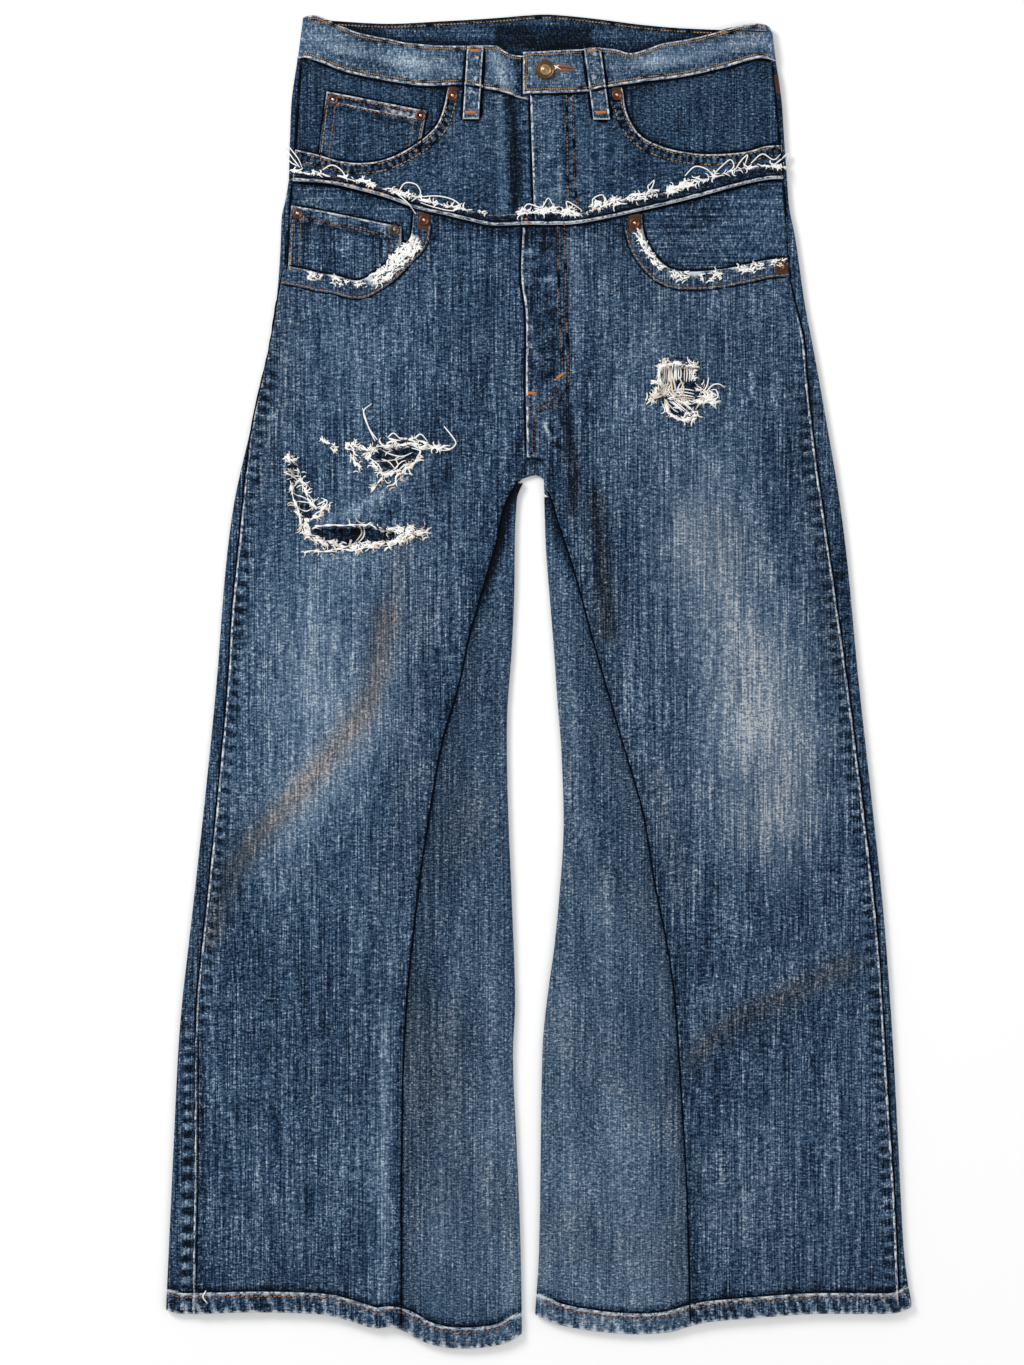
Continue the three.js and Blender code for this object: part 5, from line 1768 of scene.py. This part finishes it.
# The dark tubes below are painted shade in the seams' valleys; the pale ones are rubbed ridges.
seam_tube(ridges, down_leg(outseam[RIGHT], RIGHT, TURNED, 215, -1.1), 0.85, 0.45, 60)
seam_tube(shade_lines, down_leg(outseam[RIGHT], RIGHT, TURNED, 360, 0.9), 1.0)
seam_tube(ridges, down_leg(outseam[RIGHT], RIGHT, HEM_LINE + 1, TURNED, 0.0), 0.8, 0.6)
seam_tube(shade_lines, down_leg(outseam[RIGHT], RIGHT, HEM_LINE + 20, TURNED, -2.2), 0.9)
seam_tube(ridges, down_leg(outseam[LEFT], LEFT, HEM_LINE + 1, 335, -1.1), 0.85, 0.5, 30)
seam_tube(shade_lines, down_leg(outseam[LEFT], LEFT, HEM_LINE + 18, 365, 0.9), 1.0)
for side in (RIGHT, LEFT):
    inset = down_leg(godet_seam[side], side, HEM_LINE + 3, GODET_TOP[side] + 10, -0.8)
    seam_tube(shade_lines, inset, 1.05, 0.2)
    low_edge = hem_line[side].points[2:-2]
    seam_tube(ridges, beside(low_edge, HEM_BAND + 0.2), 0.8, 0.6)
    seam_tube(shade_lines, beside(low_edge, HEM_BAND + 2.0), 0.9)
    seam_tube(shade_lines, beside(low_edge, HEM_STITCH), 0.85, 0.1, sink=0.6)
    upper, lower = scoop["upper", side], scoop["lower", side]
    seam_tube(ridges, beside(upper, side * 0.9), 0.7, 0.4)
    seam_tube(shade_lines, beside(upper, -side * 1.2), 1.1)
    seam_tube(shade_lines, beside(lower, -side * 1.2), 1.1)
    seam_tube(shade_lines, beside(lower[:-4], side * 16.6), 0.8)
    for key, low, high in (("upper", 443, 543), ("lower", 366, 438)):
        y = np.linspace(low, high, 12)
        seam_tube(shade_lines, points_of(side_seam[key, side](y) + side * 0.8, y), 1.1)
for curve, low, high in ((fly_upper, 405, 513), (fly_lower, 200, 399)):
    y = np.linspace(low, high, 30)
    seam_tube(ridges, points_of(curve(y) + 1.0, y), 1.0, 0.4)
    seam_tube(shade_lines, points_of(curve(y) - 1.3, y), 1.35)
for curve, start, end, rise, radius in (
    (band_bottom[RIGHT], -210, -20, 0.9, 0.85), (band_bottom[LEFT], -13, 207, 0.9, 0.85),
    (band_top[RIGHT], -205, -12, -0.7, 0.55), (band_top[LEFT], -12, 203, -0.7, 0.55),
    (ridge, -217, 215, 0.9, 0.75),
):
    seam_tube(ridges, over(curve, start, end, rise), radius, 0.4)
for curve, start, end, rise, radius in (
    (band_bottom[RIGHT], -211, -18, -1.3, 1.25), (band_bottom[LEFT], -12, 207, -1.3, 1.25),
    (band_top[RIGHT], -172, -12, 0.9, 0.8), (band_top[LEFT], -12, 170, 0.9, 0.8),
    (back_band_top, -204, 203, -0.7, 0.6), (ridge, -218, 216, -1.8, 1.25), (ridge, -217, 215, 2.9, 1.0),
):
    seam_tube(shade_lines, over(curve, start, end, rise), radius)
seam_tube(shade_lines, [(-15.2, 513), (-15.2, 551)], 1.2)
seam_tube(ridges, [(-13.0, 514), (-13.0, 550)], 0.7, 0.4)
seam_tube(ridges, beside(path(COIN["coin_pocket_upper"][1]), -8.4), 0.55, 0.4)
for bottom, top in COIN.values():
    seam_tube(ridges, beside(path(top), -0.8), 0.7, 0.4)
    seam_tube(shade_lines, beside(path(top), 1.2), 1.05)
    seam_tube(shade_lines, beside(path([bottom[0], top[0]]), 1.1), 1.05)
    seam_tube(shade_lines, beside(path([bottom[-1], top[-1]]), -1.1), 1.05)
# Beside each front loop: a dark tube of painted shade and a rubbed ridge on its edge, and painted shade
# under its foot.
for name in ("belt_loop_right", "belt_loop_left"):
    top, bottom, wide = LOOPS[name]
    for way in (-1, 1):
        for bundle, shift, radius in ((shade_lines, 1.4, 1.6), (ridges, -0.7, 0.65)):
            off = way * (wide / 2 + shift)
            seam_tube(bundle, [(bottom[0] + off, bottom[1]), (top[0] + off, top[1] - 1)], radius)
    foot = bottom[1] - 0.9
    seam_tube(shade_lines, [(bottom[0] - wide / 2, foot), (bottom[0] + wide / 2, foot)], 1.2)

# %% Rows for each thread
tan, brown, orange, rust = Bundle(), Bundle(), Bundle(), Bundle()
TIGHT = {"length": 1.4, "gap": 0.6, "radius": 0.66}


def furrow(row, line, **stitch):
    """A row of stitches, with a dark tube of painted shade along the furrow that its thread pulls into the
    cloth.
    """
    stitches(row, line, **stitch)
    seam_tube(shade_lines, line, 1.15, 0.3, sink=0.5)


for line in (
    over(band_top[RIGHT], -203, -12, -2.8), over(band_top[LEFT], -10, 201, -2.8),
    over(band_bottom[RIGHT], -207, -22, 3.2), over(band_bottom[LEFT], -11, 204, 3.2),
    [(-11.3, 520), (-11.3, 535), (-11, 550)],
):
    furrow(tan, line, **TIGHT)
furrow(tan, over(back_band_top, -197, 196, -3.0), length=2.4, gap=0.5, radius=0.55)
for side in (RIGHT, LEFT):
    upper = scoop["upper", side]
    for distance in (2.5, 9.0):
        furrow(tan, beside(upper, side * distance), length=3.2, gap=0.5, radius=0.5)
    lower = scoop["lower", side][:-4]
    for distance in (13.2, 14.6):
        stitches(rust if distance < 14 else tan, beside(lower, side * distance), length=3.4, radius=0.4)

# %% Coin pockets, flies and hems
for name, (bottom, top) in COIN.items():
    top_line = path(top)
    for distance in (-3.0, -9.8) if "upper" in name else (-9.6,):
        furrow(brown, beside(top_line, distance)[4:-3], length=3.4, gap=0.3, radius=0.6)
    for distance, row in ((2.0, tan), (9.0, brown)):
        left = beside(path([bottom[0], top[0]]), -distance)
        right = beside(path([bottom[-1], top[-1]]), distance)
        stitches(row, left[:-4], radius=0.45)
        stitches(row, right[:-4], radius=0.45)
UPPER_FLY = (
    [(23.8, 515), (24.6, 480), (25, 440), (27, 412)],
    [(29.6, 515), (30.4, 480), (31.2, 440), (33.5, 414)],
)
LOWER_FLY = (
    [(16.2, 400), (16.6, 370), (18, 320), (20.6, 275)],
    [(17.4, 260), (11.5, 248.6), (2, 243), (-10, 242)],
    [(22.3, 402), (22.8, 370), (24, 320), (25.8, 276), (25.4, 261), (19.5, 248.6), (10, 240.5),
     (-10, 236)],
)
for line in (*UPPER_FLY, *LOWER_FLY, [(-4.4, 234), (-4.4, 198)]):
    furrow(brown, line, length=3.2, gap=0.4, radius=0.5)
for side in (RIGHT, LEFT):
    legs_hem = hem_line[side].points
    stitches(brown, beside(legs_hem, HEM_STITCH), length=3.6, gap=0.5, radius=0.5)
    stitches(brown, beside(legs_hem, HEM_STITCH), length=3.6, gap=0.8, radius=0.26, under=True)
stitches(brown, [(-5.0, 181), (-4.8, 195)], length=2.6, gap=0.6, radius=0.4)
for centre, width, high, turn in (
    ((-6.4, 253.3), 8.5, 2.0, -0.05), ((18.5, 268.6), 8.5, 1.9, 0.62), ((-60, 499.5), 10, 2.0, 0),
    ((54.6, 499.5), 10, 2.0, 0.05), ((-10.5, 404), 2.4, 6, 0.5),
    ((-56, 553.5), 9, 1.8, -0.05), ((47, 553.5), 9, 1.8, 0.05),
):
    satin(orange, centre, width, high, turn)
mended = over(lambda x: (ridge(x) + raw_edge(x)) / 2, -183, -128, -1.2)
stitches(orange, mended, length=3.0, gap=1.6, radius=0.5)
for centre, width, high, turn in (
    ((-101, 404.5), 10.5, 15, -0.12), ((84, 403.5), 11, 15, 0.05), ((213.5, 365.5), 11, 14, -0.1),
    ((-76, 517), 8.5, 11, 0), ((68.5, 517), 8.5, 11, 0.1), ((209, 525), 4, 16, 0.12),
):
    satin(rust, centre, width, high, turn)

# %% Seams of the underside
PLAIN = {"length": 4.0, "gap": 1.0, "radius": 0.26, "under": True}
for name, centre in (("back_pocket_right", -112), ("back_pocket_left", 108)):
    outline = closed(pocket_outline(centre))
    for distance in (2.4, 8.0):
        stitches(brown, beside(outline[:-1], distance), **PLAIN, level=0.1)
for lift in (3.0, 9.0):
    stitches(brown, over(yoke_seam, -205, 205, lift), **PLAIN)
stitches(brown, [(CENTRE_BACK + 3, 200), (CENTRE_BACK + 3, 430)], **PLAIN)
for edge in (over(back_band_bottom, -204, 200, 3.0), over(back_band_top, -200, 196, -3.5)):
    stitches(brown, edge, **PLAIN, level=SEAT)

# %% The buttonhole
seam_tube(shade_lines, [(12, 538.7), (22, 538.1), (31, 537.6)], 0.6)
for i, x in enumerate(np.arange(12.5, 31.5, 0.7)):
    reach = 2.6 * smooth(32.5, 20, x)
    u = np.array([x, x + 0.3, x + 0.7])
    for way in (-1, 1):
        y = 538.6 - 0.05 * (x - 12) + way * np.array([0.35, 0.5 + reach * 0.5, 0.6 + reach])
        z = laid(u, y) + np.array([0.1, 0.5, -0.1])
        brown.tube(points_of(u, y, z), np.array([0.42, 0.45, 0.3]))

# %% [markdown]
# ## Loose yarn
# Where cloth is cut or torn, the undyed weft comes loose and curls. A `mass` lays a few thick
# wavy cords of tangled weft along a line and strews short curled yarns over them. Most are
# white, some are unbleached, and some are cut ends of the blue warp, which also stand in for
# the shade between the white yarns. Longer single yarns are drawn one by one. In a rip the
# weft stays as a ladder across the hole.

# %% Frays
white, cream, navy = Bundle(), Bundle(), Bundle()
YARN_SEED = 404
turns = random.Random(YARN_SEED)
STREWN = 0.26  # yarns strewn for each one asked for, since cords take up most of the room
CORD = 1.6  # a cord's radius, for a yarn's radius of 1
# Warp ends are dark blue yarns that also stand in for the shade among the white ones.
INDIGO_ABOVE = 0.82  # of all the yarns, those with a draw above this are warp ends
LINKS = 5  # straight parts of a short curled yarn


def yarn(bundle, points, radius, lift=0.8):
    """One long loose yarn through the given points."""
    spine = path(points, 1.6)
    t = np.linspace(0, 1, len(spine))
    z = laid(spine[:, 0], spine[:, 1]) + radius + lift * np.sin(math.pi * t)
    radii = radius * (1 - 0.45 * t**4) * (1 - 0.2 * (1 - t) ** 6)
    bundle.tube(np.column_stack([spine[:, :2], z]), radii, 5)


def mass(line, per_mm, low, high, length, along=0.0, start=0.0, end=None, patches=0.0,
         radius=0.55, tinted=0.08, cords=None):
    """Cords and short curled yarns beside a line, between low and high to the left of it."""
    spine = path(line, 1.0)[:, :2] if len(line) < 60 else np.array(line)[:, :2]
    lengths = lengths_to(spine)
    ahead = np.gradient(spine, axis=0)
    ahead /= np.linalg.norm(ahead, axis=1)[:, None]
    end = lengths[-1] if end is None else end
    kept = (lengths >= start) & (lengths <= end)
    sideways = points_of(-ahead[:, 1], ahead[:, 0])
    if cords is None:
        cords = int(per_mm // 3) if not patches and kept.sum() > 4 else 0
    for _ in range(cords):
        at = turns.uniform(mix(low, high, 0.25), mix(low, high, 0.75))
        waves = np.sin(lengths[kept] / turns.uniform(2.0, 4.5) + turns.uniform(0, 6))
        sway = at + 0.3 * (high - low) * waves
        cord = spine[kept] + sideways[kept] * sway[:, None]
        z = laid(*cord.T) + turns.uniform(0.3, 0.9)
        size = radius * CORD * (0.75 + 0.35 * np.sin(lengths[kept] / turns.uniform(1.2, 2.6)))
        white.tube(np.column_stack([cord, z]), size, 6)
    for _ in range(int((end - start) * per_mm * STREWN)):
        place = turns.uniform(start, end)
        if patches and math.sin(place / patches) + 0.6 * math.sin(place / patches * 2.3 + 1) < -0.15:
            continue
        i = min(int(np.searchsorted(lengths, place)), len(spine) - 1)
        away = turns.uniform(low, high)
        x = spine[i][0] - ahead[i][1] * away
        y = spine[i][1] + ahead[i][0] * away
        heading = math.atan2(ahead[i][1], ahead[i][0]) if along is not None else 0.0
        heading += math.pi * (turns.random() < 0.5)
        heading += turns.gauss(along, 0.3) if along is not None else turns.uniform(0, math.tau)
        step = length * turns.uniform(0.6, 1.4) / LINKS
        curl = turns.uniform(-0.6, 0.6)
        xs = [x - step * LINKS / 2 * math.cos(heading)]
        ys = [y - step * LINKS / 2 * math.sin(heading)]
        for _ in range(LINKS):
            xs.append(xs[-1] + step * math.cos(heading))
            ys.append(ys[-1] + step * math.sin(heading))
            heading += curl + turns.uniform(-0.3, 0.3)
        arch = np.sin(np.linspace(0, math.pi, LINKS + 1))
        z = laid(xs, ys) + turns.uniform(0.1, 0.9) + 0.5 * arch
        size = radius * turns.uniform(0.75, 1.25) * np.array([0.7, 1, 1, 1, 0.9, 0.5])
        shade = turns.random()
        bundle = cream if shade < tinted else navy if shade > INDIGO_ABOVE else white
        bundle.tube(points_of(xs, ys, z), size, 4)


# %% The raw edge of the join
JOIN = [  # from and to in x, yarns per millimetre, lowest, highest, length
    (-217, -183, 3.0, -1.4, 1.8, 5), (-177, -143, 3.0, -1.0, 1.6, 6), (-143, -128, 1.5, -0.6, 0.8, 6),
    (-128, -104, 5.0, -1.8, 2.6, 6), (-104, -70, 3.0, -0.6, 1.2, 8), (-70, -42, 1.5, -0.4, 0.8, 7),
    (-19, 33, 4.5, -2.2, 2.6, 6), (33, 46, 2.0, -0.8, 0.8, 6), (47, 106, 5.5, -1.6, 4.2, 7),
    (112, 140, 5.0, -1.6, 3.8, 7), (140, 182, 2.4, -1.0, 1.8, 7), (182, 217, 3.5, -0.8, 2.2, 6),
]
for start, end, per_mm, low, high, length in JOIN:
    mass(over(raw_edge, start, end), per_mm, low, high, length)
for x, size in ((-14, 3), (5, 3.5), (12, 3), (26, 5), (52, 5), (68, 3.5), (88, 3), (117, 4.5), (129, 4)):
    y = float(raw_edge(x)) + 1.5
    mass([(x - size, y - 1), (x, y + 1.5), (x + size, y)], 9.0, -size * 0.6, size * 0.6, 6)
LOOSE = [
    [(-212, 452), (-219, 457), (-223, 464), (-221, 470), (-216, 465), (-211, 458), (-208, 451)],
    [(-210, 451), (-216, 459), (-222, 468), (-225, 477)],
    [(-190, 449), (-182, 453), (-174, 449), (-168, 440)],
    [(-124, 428), (-118, 437), (-108, 436), (-104, 428), (-112, 421)],
    [(-106, 425), (-90, 426), (-76, 423), (-69, 417), (-76, 413), (-92, 416), (-104, 420)],
    [(-128, 430), (-120, 424), (-112, 416), (-108, 410)],
    [(-16, 411), (-10, 419), (2, 416), (8, 424), (14, 414)],
    [(26, 412), (24, 421), (31, 418), (38, 413)],
    [(50, 414), (47, 423), (56, 427), (58, 418)],
    [(88, 424), (98, 432), (101, 440), (96, 435)],
    [(128, 444), (137, 452), (148, 449), (154, 441)],
    [(152, 444), (160, 452), (168, 458), (171, 452), (164, 446)],
    [(172, 449), (178, 458), (183, 462), (180, 452)],
    [(186, 455), (196, 463), (206, 458), (212, 463)],
    [(204, 452), (212, 458), (219, 464), (217, 455)],
]
for line in LOOSE:
    yarn(white, line, 0.6)

# %% The pocket openings' frays
right_scoop, left_scoop = scoop["lower", RIGHT], scoop["lower", LEFT]
mass(right_scoop, 16.0, -12.0, 0.5, 6, start=76, end=126, radius=0.62)
mass(right_scoop, 9.0, -7.5, -0.5, 4.5, start=20, end=70, patches=3.4, radius=0.6)
mass(left_scoop, 10.0, 0.5, 8.5, 5, start=24, end=100, patches=4.6, radius=0.6)
mass(left_scoop, 8.0, 0.5, 6.5, 4.5, start=2, end=24, patches=3.8, radius=0.6)
mass(left_scoop, 8.0, 1.0, 6.5, 4.5, start=108, end=146, radius=0.6)

# %% The rips' frays
RIP_MASSES = [  # line, yarns per millimetre, half width, length, turned from the line or strewn
    ([(-192, 212), (-183, 209), (-178, 202)], 6, 1.6, 4, None),
    ([(-170, 210), (-164, 201), (-160, 191), (-157, 185)], 7, 2.8, 6, 0.1),
    ([(-170, 210), (-158, 207), (-148, 202)], 6, 2.0, 6, 0.0),
    ([(-152, 195), (-148, 202), (-140, 206), (-131, 203)], 9, 2.4, 7, 0.0),
    ([(-134, 209), (-112, 207), (-92, 205), (-78, 205)], 5, 2.4, 6, 0.1),
    ([(-132, 213), (-108, 212), (-96, 208)], 2.5, 1.2, 5, 0.2),
    ([(-147, 192), (-138, 182), (-126, 184), (-112, 193)], 6, 1.3, 6, 0.0),
    ([(-104, 199), (-114, 190), (-124, 180), (-131, 171)], 8, 2.4, 8, 0.0),
    ([(-138, 179), (-149, 166)], 5, 1.0, 6, 0.0),
    ([(-222, 199), (-213, 190)], 12, 3.0, 5, 0.0),
    ([(-218, 188), (-216.4, 171), (-214.7, 160), (-210, 145.5), (-206.7, 131)], 6, 1.0, 8, 0.0),
    ([(-212, 188), (-206.7, 171), (-200, 157), (-195, 152)], 6, 1.0, 8, 0.0),
    ([(-199, 145), (-192, 147), (-189, 156), (-185, 152)], 9, 1.8, 6, 0.0),
    ([(-205, 143), (-203, 132)], 13, 3.0, 5, 0.0),
    ([(-197, 136.4), (-156, 137.4), (-146, 137.8)], 1, 0.3, 8, 0.0),
    ([(-146, 137), (-137, 132.5), (-124, 134), (-110, 136)], 5, 1.8, 6, 0.1),
    ([(-206, 131), (-196, 125), (-184, 121.5), (-163, 119), (-137, 122), (-130, 120), (-122, 125),
      (-104, 129)], 10, 2.6, 7, 0.0),
    ([(-206, 113), (-185, 115), (-160, 116), (-140, 118)], 3, 1.6, 5, 0.2),
    ([(-126, 129), (-112, 131), (-100, 130)], 11, 3.4, 8, 0.0),
    ([(105, 278), (120, 279), (137, 277)], 10, 1.6, 7, 0.0),
    ([(106, 277), (106.5, 268), (107, 261)], 9, 1.4, 6, 0.0),
    ([(134.5, 276), (135, 264)], 10, 1.6, 6, 0.0),
    ([(96, 247), (104, 251), (114, 258)], 11, 2.2, 8, 0.0),
    ([(98, 263), (106, 262), (112, 258)], 6, 1.6, 6, 0.0),
    ([(102, 257), (110, 253), (118, 254)], 8, 2.0, 7, 0.2),
    ([(113, 249), (124, 247), (134, 243)], 9, 2.2, 7, 0.0),
    ([(112, 246), (113, 238), (120, 232), (130, 230), (139, 233)], 10, 2.0, 6, 0.0),
    ([(118, 242), (128, 237), (138, 240)], 7, 2.0, 7, 0.3),
    ([(136, 246), (146, 248), (154, 245)], 12, 3.0, 8, 0.2),
    ([(138, 259), (146, 254), (152, 250)], 9, 2.0, 7, 0.3),
]
for line, per_mm, half, length, along in RIP_MASSES:
    thick = 1 + (per_mm > 4) + (per_mm > 8)
    mass(line, 0.6 * per_mm, -half, half, 1.15 * length, along, radius=0.55, tinted=0.25, cords=thick)
LADDERS = [
    *([(-216.5 + 0.10 * (188 - y), y), (-212 + 0.2 * (188 - y), y + turns.uniform(-5, 3)),
       (-211 + 0.37 * (188 - y), y - turns.uniform(0, 9))] for y in np.arange(186, 148, -5.5)),
    *([(x, 278), (x + turns.uniform(-1, 1), 270), (x - 0.5, turns.uniform(260, 264))]
      for x in np.arange(108, 135, 1.35) if abs(x - 126) > 1 and abs(x - 131) > 0.8),
    *([(x, 264), (x - 3, 256), (x + 3, 249)] for x in (110, 112, 114, 117, 125, 128)),
    *([(114, y), (126, y + 2.2), (139, y + turns.uniform(-1, 1))] for y in (255.0, 252.2, 249.6, 247.2)),
    *([(x, 247), (x + 8, 241 + turns.uniform(-3, 3)), (x + 13, 236)] for x in np.arange(111, 128, 2.6)),
    [(-154, 136), (-154, 128), (-160, 121)], [(-157, 136), (-156, 130), (-162, 122)],
    [(-150, 197), (-141, 190), (-137, 182)], [(-147, 193), (-134, 194), (-122, 196), (-114, 200)],
    [(-137, 181), (-128, 186), (-121, 193), (-114, 195)],
    [(-131, 183), (-124, 190), (-126, 196), (-120, 198)],
    [(-142, 206), (-131, 200), (-120, 198), (-108, 203)], [(-108, 196), (-104, 202), (-112, 205)],
    [(-130, 184), (-118, 186), (-108, 194)], [(-140, 196), (-132, 193), (-126, 186)],
]
for line in LADDERS:
    yarn(white if turns.random() < 0.8 else cream, line, 0.62, 0.7)
for line in ([(113, 277), (116, 264), (118, 254), (124, 251), (127, 258), (122, 270)],
             [(116, 274), (119, 262), (121, 255), (125, 256)], [(97, 247), (106, 253), (114, 262)],
             [(97, 247.5), (108, 251), (118, 259)]):
    yarn(cream, line, 0.95, 1.0)
LONG = [
    [(11.5, 541.5), (14, 538.8), (17.5, 540.6)], [(12.5, 535.5), (15, 538.2), (19, 537)],
    [(13, 540), (17, 538)],
    [(-142, 212), (-149, 222), (-154, 237), (-147, 244)], [(-144, 211), (-150, 224), (-155, 240)],
    [(-83.5, 224), (-77, 216), (-73, 209), (-79, 203.5), (-90, 203)],
    [(-133, 214), (-128, 218), (-122, 213)], [(-110, 213), (-104, 217), (-98, 211)],
    [(-224, 184), (-218, 181), (-212, 177)], [(-197, 147), (-190, 151), (-186, 158), (-191, 161)],
    [(-292.5, -535), (-295, -540), (-291, -546)],
    [(142, 252), (147, 259), (149, 267)], [(146, 253), (152, 260), (158, 261), (163, 258)],
    [(152, 247), (157, 250), (155, 256), (151, 256)], [(148, 246), (153, 242), (155, 240)],
]
for line in LONG:
    yarn(white, line, 0.65, 1.2)

# %% Materials of the seams' lines
# Near black, for the painted shade in the seams' valleys.
deep, _, deep_shader = new_material("painted shade in a seam", 0.95)
deep_shader.inputs["Base Color"].default_value = linear("#050A14")
deep_shader.inputs["Specular IOR Level"].default_value = 0.05
rubbed, rubbed_tree, rubbed_shader = new_material("indigo rubbed to its core", 0.9)
rubbed_place = add_node(rubbed_tree, "ShaderNodeTexCoord").outputs["Object"]
left_blue = add_node(rubbed_tree, "ShaderNodeTexNoise", {  # blue is left in spots 3 mm across
    "Vector": rubbed_place, "Scale": 1000 / 3, "Detail": 2.0,
})
rubbed_ramp = add_node(rubbed_tree, "ShaderNodeValToRGB", {"Fac": left_blue.outputs["Fac"]})
rubbed_shades = ((0.40, "#3D5272"), (0.62, "#D3D8DA"))
for element, (at, shade) in zip(rubbed_ramp.color_ramp.elements, rubbed_shades):
    element.position = at
    element.color = linear(shade)
rubbed_tree.links.new(rubbed_ramp.outputs["Color"], rubbed_shader.inputs["Base Color"])
rubbed_shader.inputs["Specular IOR Level"].default_value = 0.1
shade_lines.make("seam_shade_lines", deep, "denim_unfaded")
ridges.make("seam_ridges", rubbed, "denim_lower")

# %% Yarn materials and meshes
for name, shade, bundle in (
    ("tan cotton topstitch", "#A6855F", tan), ("brown cotton topstitch", "#8A6044", brown),
    ("orange cotton bartack", "#BF7838", orange), ("rust satin stitch", "#4B2E22", rust),
    ("bleached cotton weft", "#F6F5F2", white), ("unbleached cotton weft", "#D8CCBA", cream),
    ("frayed indigo warp and painted shade", "#22334C", navy),
):
    yarn_material, _, yarn_shader = new_material(name, 0.85)
    yarn_shader.inputs["Base Color"].default_value = linear(shade)
    yarn_shader.inputs["Sheen Weight"].default_value = 0.15
    yarn_shader.inputs["Specular IOR Level"].default_value = 0.25
    bundle.make(name.replace(" ", "_"), yarn_material)

# %% [markdown]
# ## Metal
# A jeans button and rivets are pressed from thin metal and turned over at the rim. Each is a
# profile turned round its axis, in worn metal with patches of dark tarnish. Its middle is a
# paler copy of the same metal, a painted glint where the dome catches the light.

# %% Button and rivets
ROUND = 48  # sides of each piece of metal
BUTTON = [(0, 2.75), (1.9, 2.7), (2.3, 2.3), (2.7, 1.7), (4.6, 1.6), (5.2, 2.1), (5.7, 2.35), (6.2, 2.1),
          (6.7, 2.0), (7.3, 2.6), (7.9, 2.85), (8.35, 2.3), (8.5, 1.4), (8.2, 0.5), (7.2, 0), (0, 0)]
RIVET = [(0, 1.5), (0.9, 1.4), (1.3, 1.0), (1.5, 0.3), (2.5, 0.25), (2.9, 0.8), (3.4, 1.3), (4.0, 1.35),
         (4.5, 1.0), (4.8, 0.5), (4.6, 0), (0, 0)]
METAL_PLACES = {
    "waist_button": (5.2, 536.5, 9.9), "rivet_coin_upper_outer": (-181, 511, 6.6),
    "rivet_coin_upper_inner": (-104, 497, 6.6), "rivet_upper_right": (-76, 514.5, 7.1),
    "rivet_upper_left": (68.5, 515, 6.6), "rivet_coin_outer": (-212, 411, 6.6),
    "rivet_coin_inner": (-127, 396.7, 6.6), "rivet_right": (-101, 405, 8.1),
    "rivet_left": (84, 402.6, 6.6), "rivet_side_left": (211.5, 365, 6.6),
}


def metal(name, colour, roughness, dark, scale):
    """Worn metal: patches of tarnish over the bright colour."""
    material, tree, shader = new_material(name, roughness, 1.0)
    place = add_node(tree, "ShaderNodeTexCoord").outputs["Object"]
    noise = add_node(tree, "ShaderNodeTexNoise", {"Vector": place, "Scale": 1000 / scale, "Detail": 3.0})
    mixed = add_node(tree, "ShaderNodeMix", {
        "Factor": noise.outputs["Fac"], 6: linear(colour), 7: linear(dark),
    }, data_type="RGBA")
    tree.links.new(mixed.outputs[2], shader.inputs["Base Color"])
    return material


# The second and fourth are pale copies of the metal: a painted glint for the middle of each piece.
brass = metal("tarnished brass", "#7C6145", 0.42, "#3E2E20", 2.0)
glint_brass = metal("brass with a painted glint", "#C4A57C", 0.36, "#8E7252", 3.0)
copper = metal("tarnished copper", "#855946", 0.42, "#43291F", 1.6)
glint_copper = metal("copper with a painted glint", "#F0D6B8", 0.3, "#CFA586", 3.0)
for name, (px, py, foot) in METAL_PLACES.items():
    is_brass = name in ("waist_button", "rivet_coin_inner")
    profile, glint_reach = (BUTTON, 4.0) if name == "waist_button" else (RIVET, 1.2)
    turn = np.linspace(0, math.tau, ROUND, endpoint=False)
    radius, height = np.array(profile[1:-1]).T
    ringed = np.stack([radius[:, None] * np.cos(turn), radius[:, None] * np.sin(turn),
                       np.repeat(height[:, None], len(turn), axis=1)], axis=-1).reshape(-1, 3)
    points = np.vstack([ringed, (0, 0, profile[0][1]), (0, 0, 0)]) + (px, py, foot)
    index = np.arange(len(ringed)).reshape(len(radius), -1)
    faces = ring_faces(index)
    faces += [[len(ringed), int(a), int(b)] for a, b in zip(index[0], np.roll(index[0], -1))]
    faces += [[len(ringed) + 1, int(b), int(a)] for a, b in zip(index[-1], np.roll(index[-1], -1))]
    turned = make_object(name, points, faces, brass if is_brass else copper)
    turned.data.materials.append(glint_brass if is_brass else glint_copper)
    # Faces near the axis take the painted glint.
    for polygon in turned.data.polygons:
        from_axis = np.hypot(polygon.center.x / MM - px, polygon.center.y / MM - py)
        polygon.material_index = int(from_axis < glint_reach)
    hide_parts(name)
print(len(METAL_PLACES), "pieces of metal made")
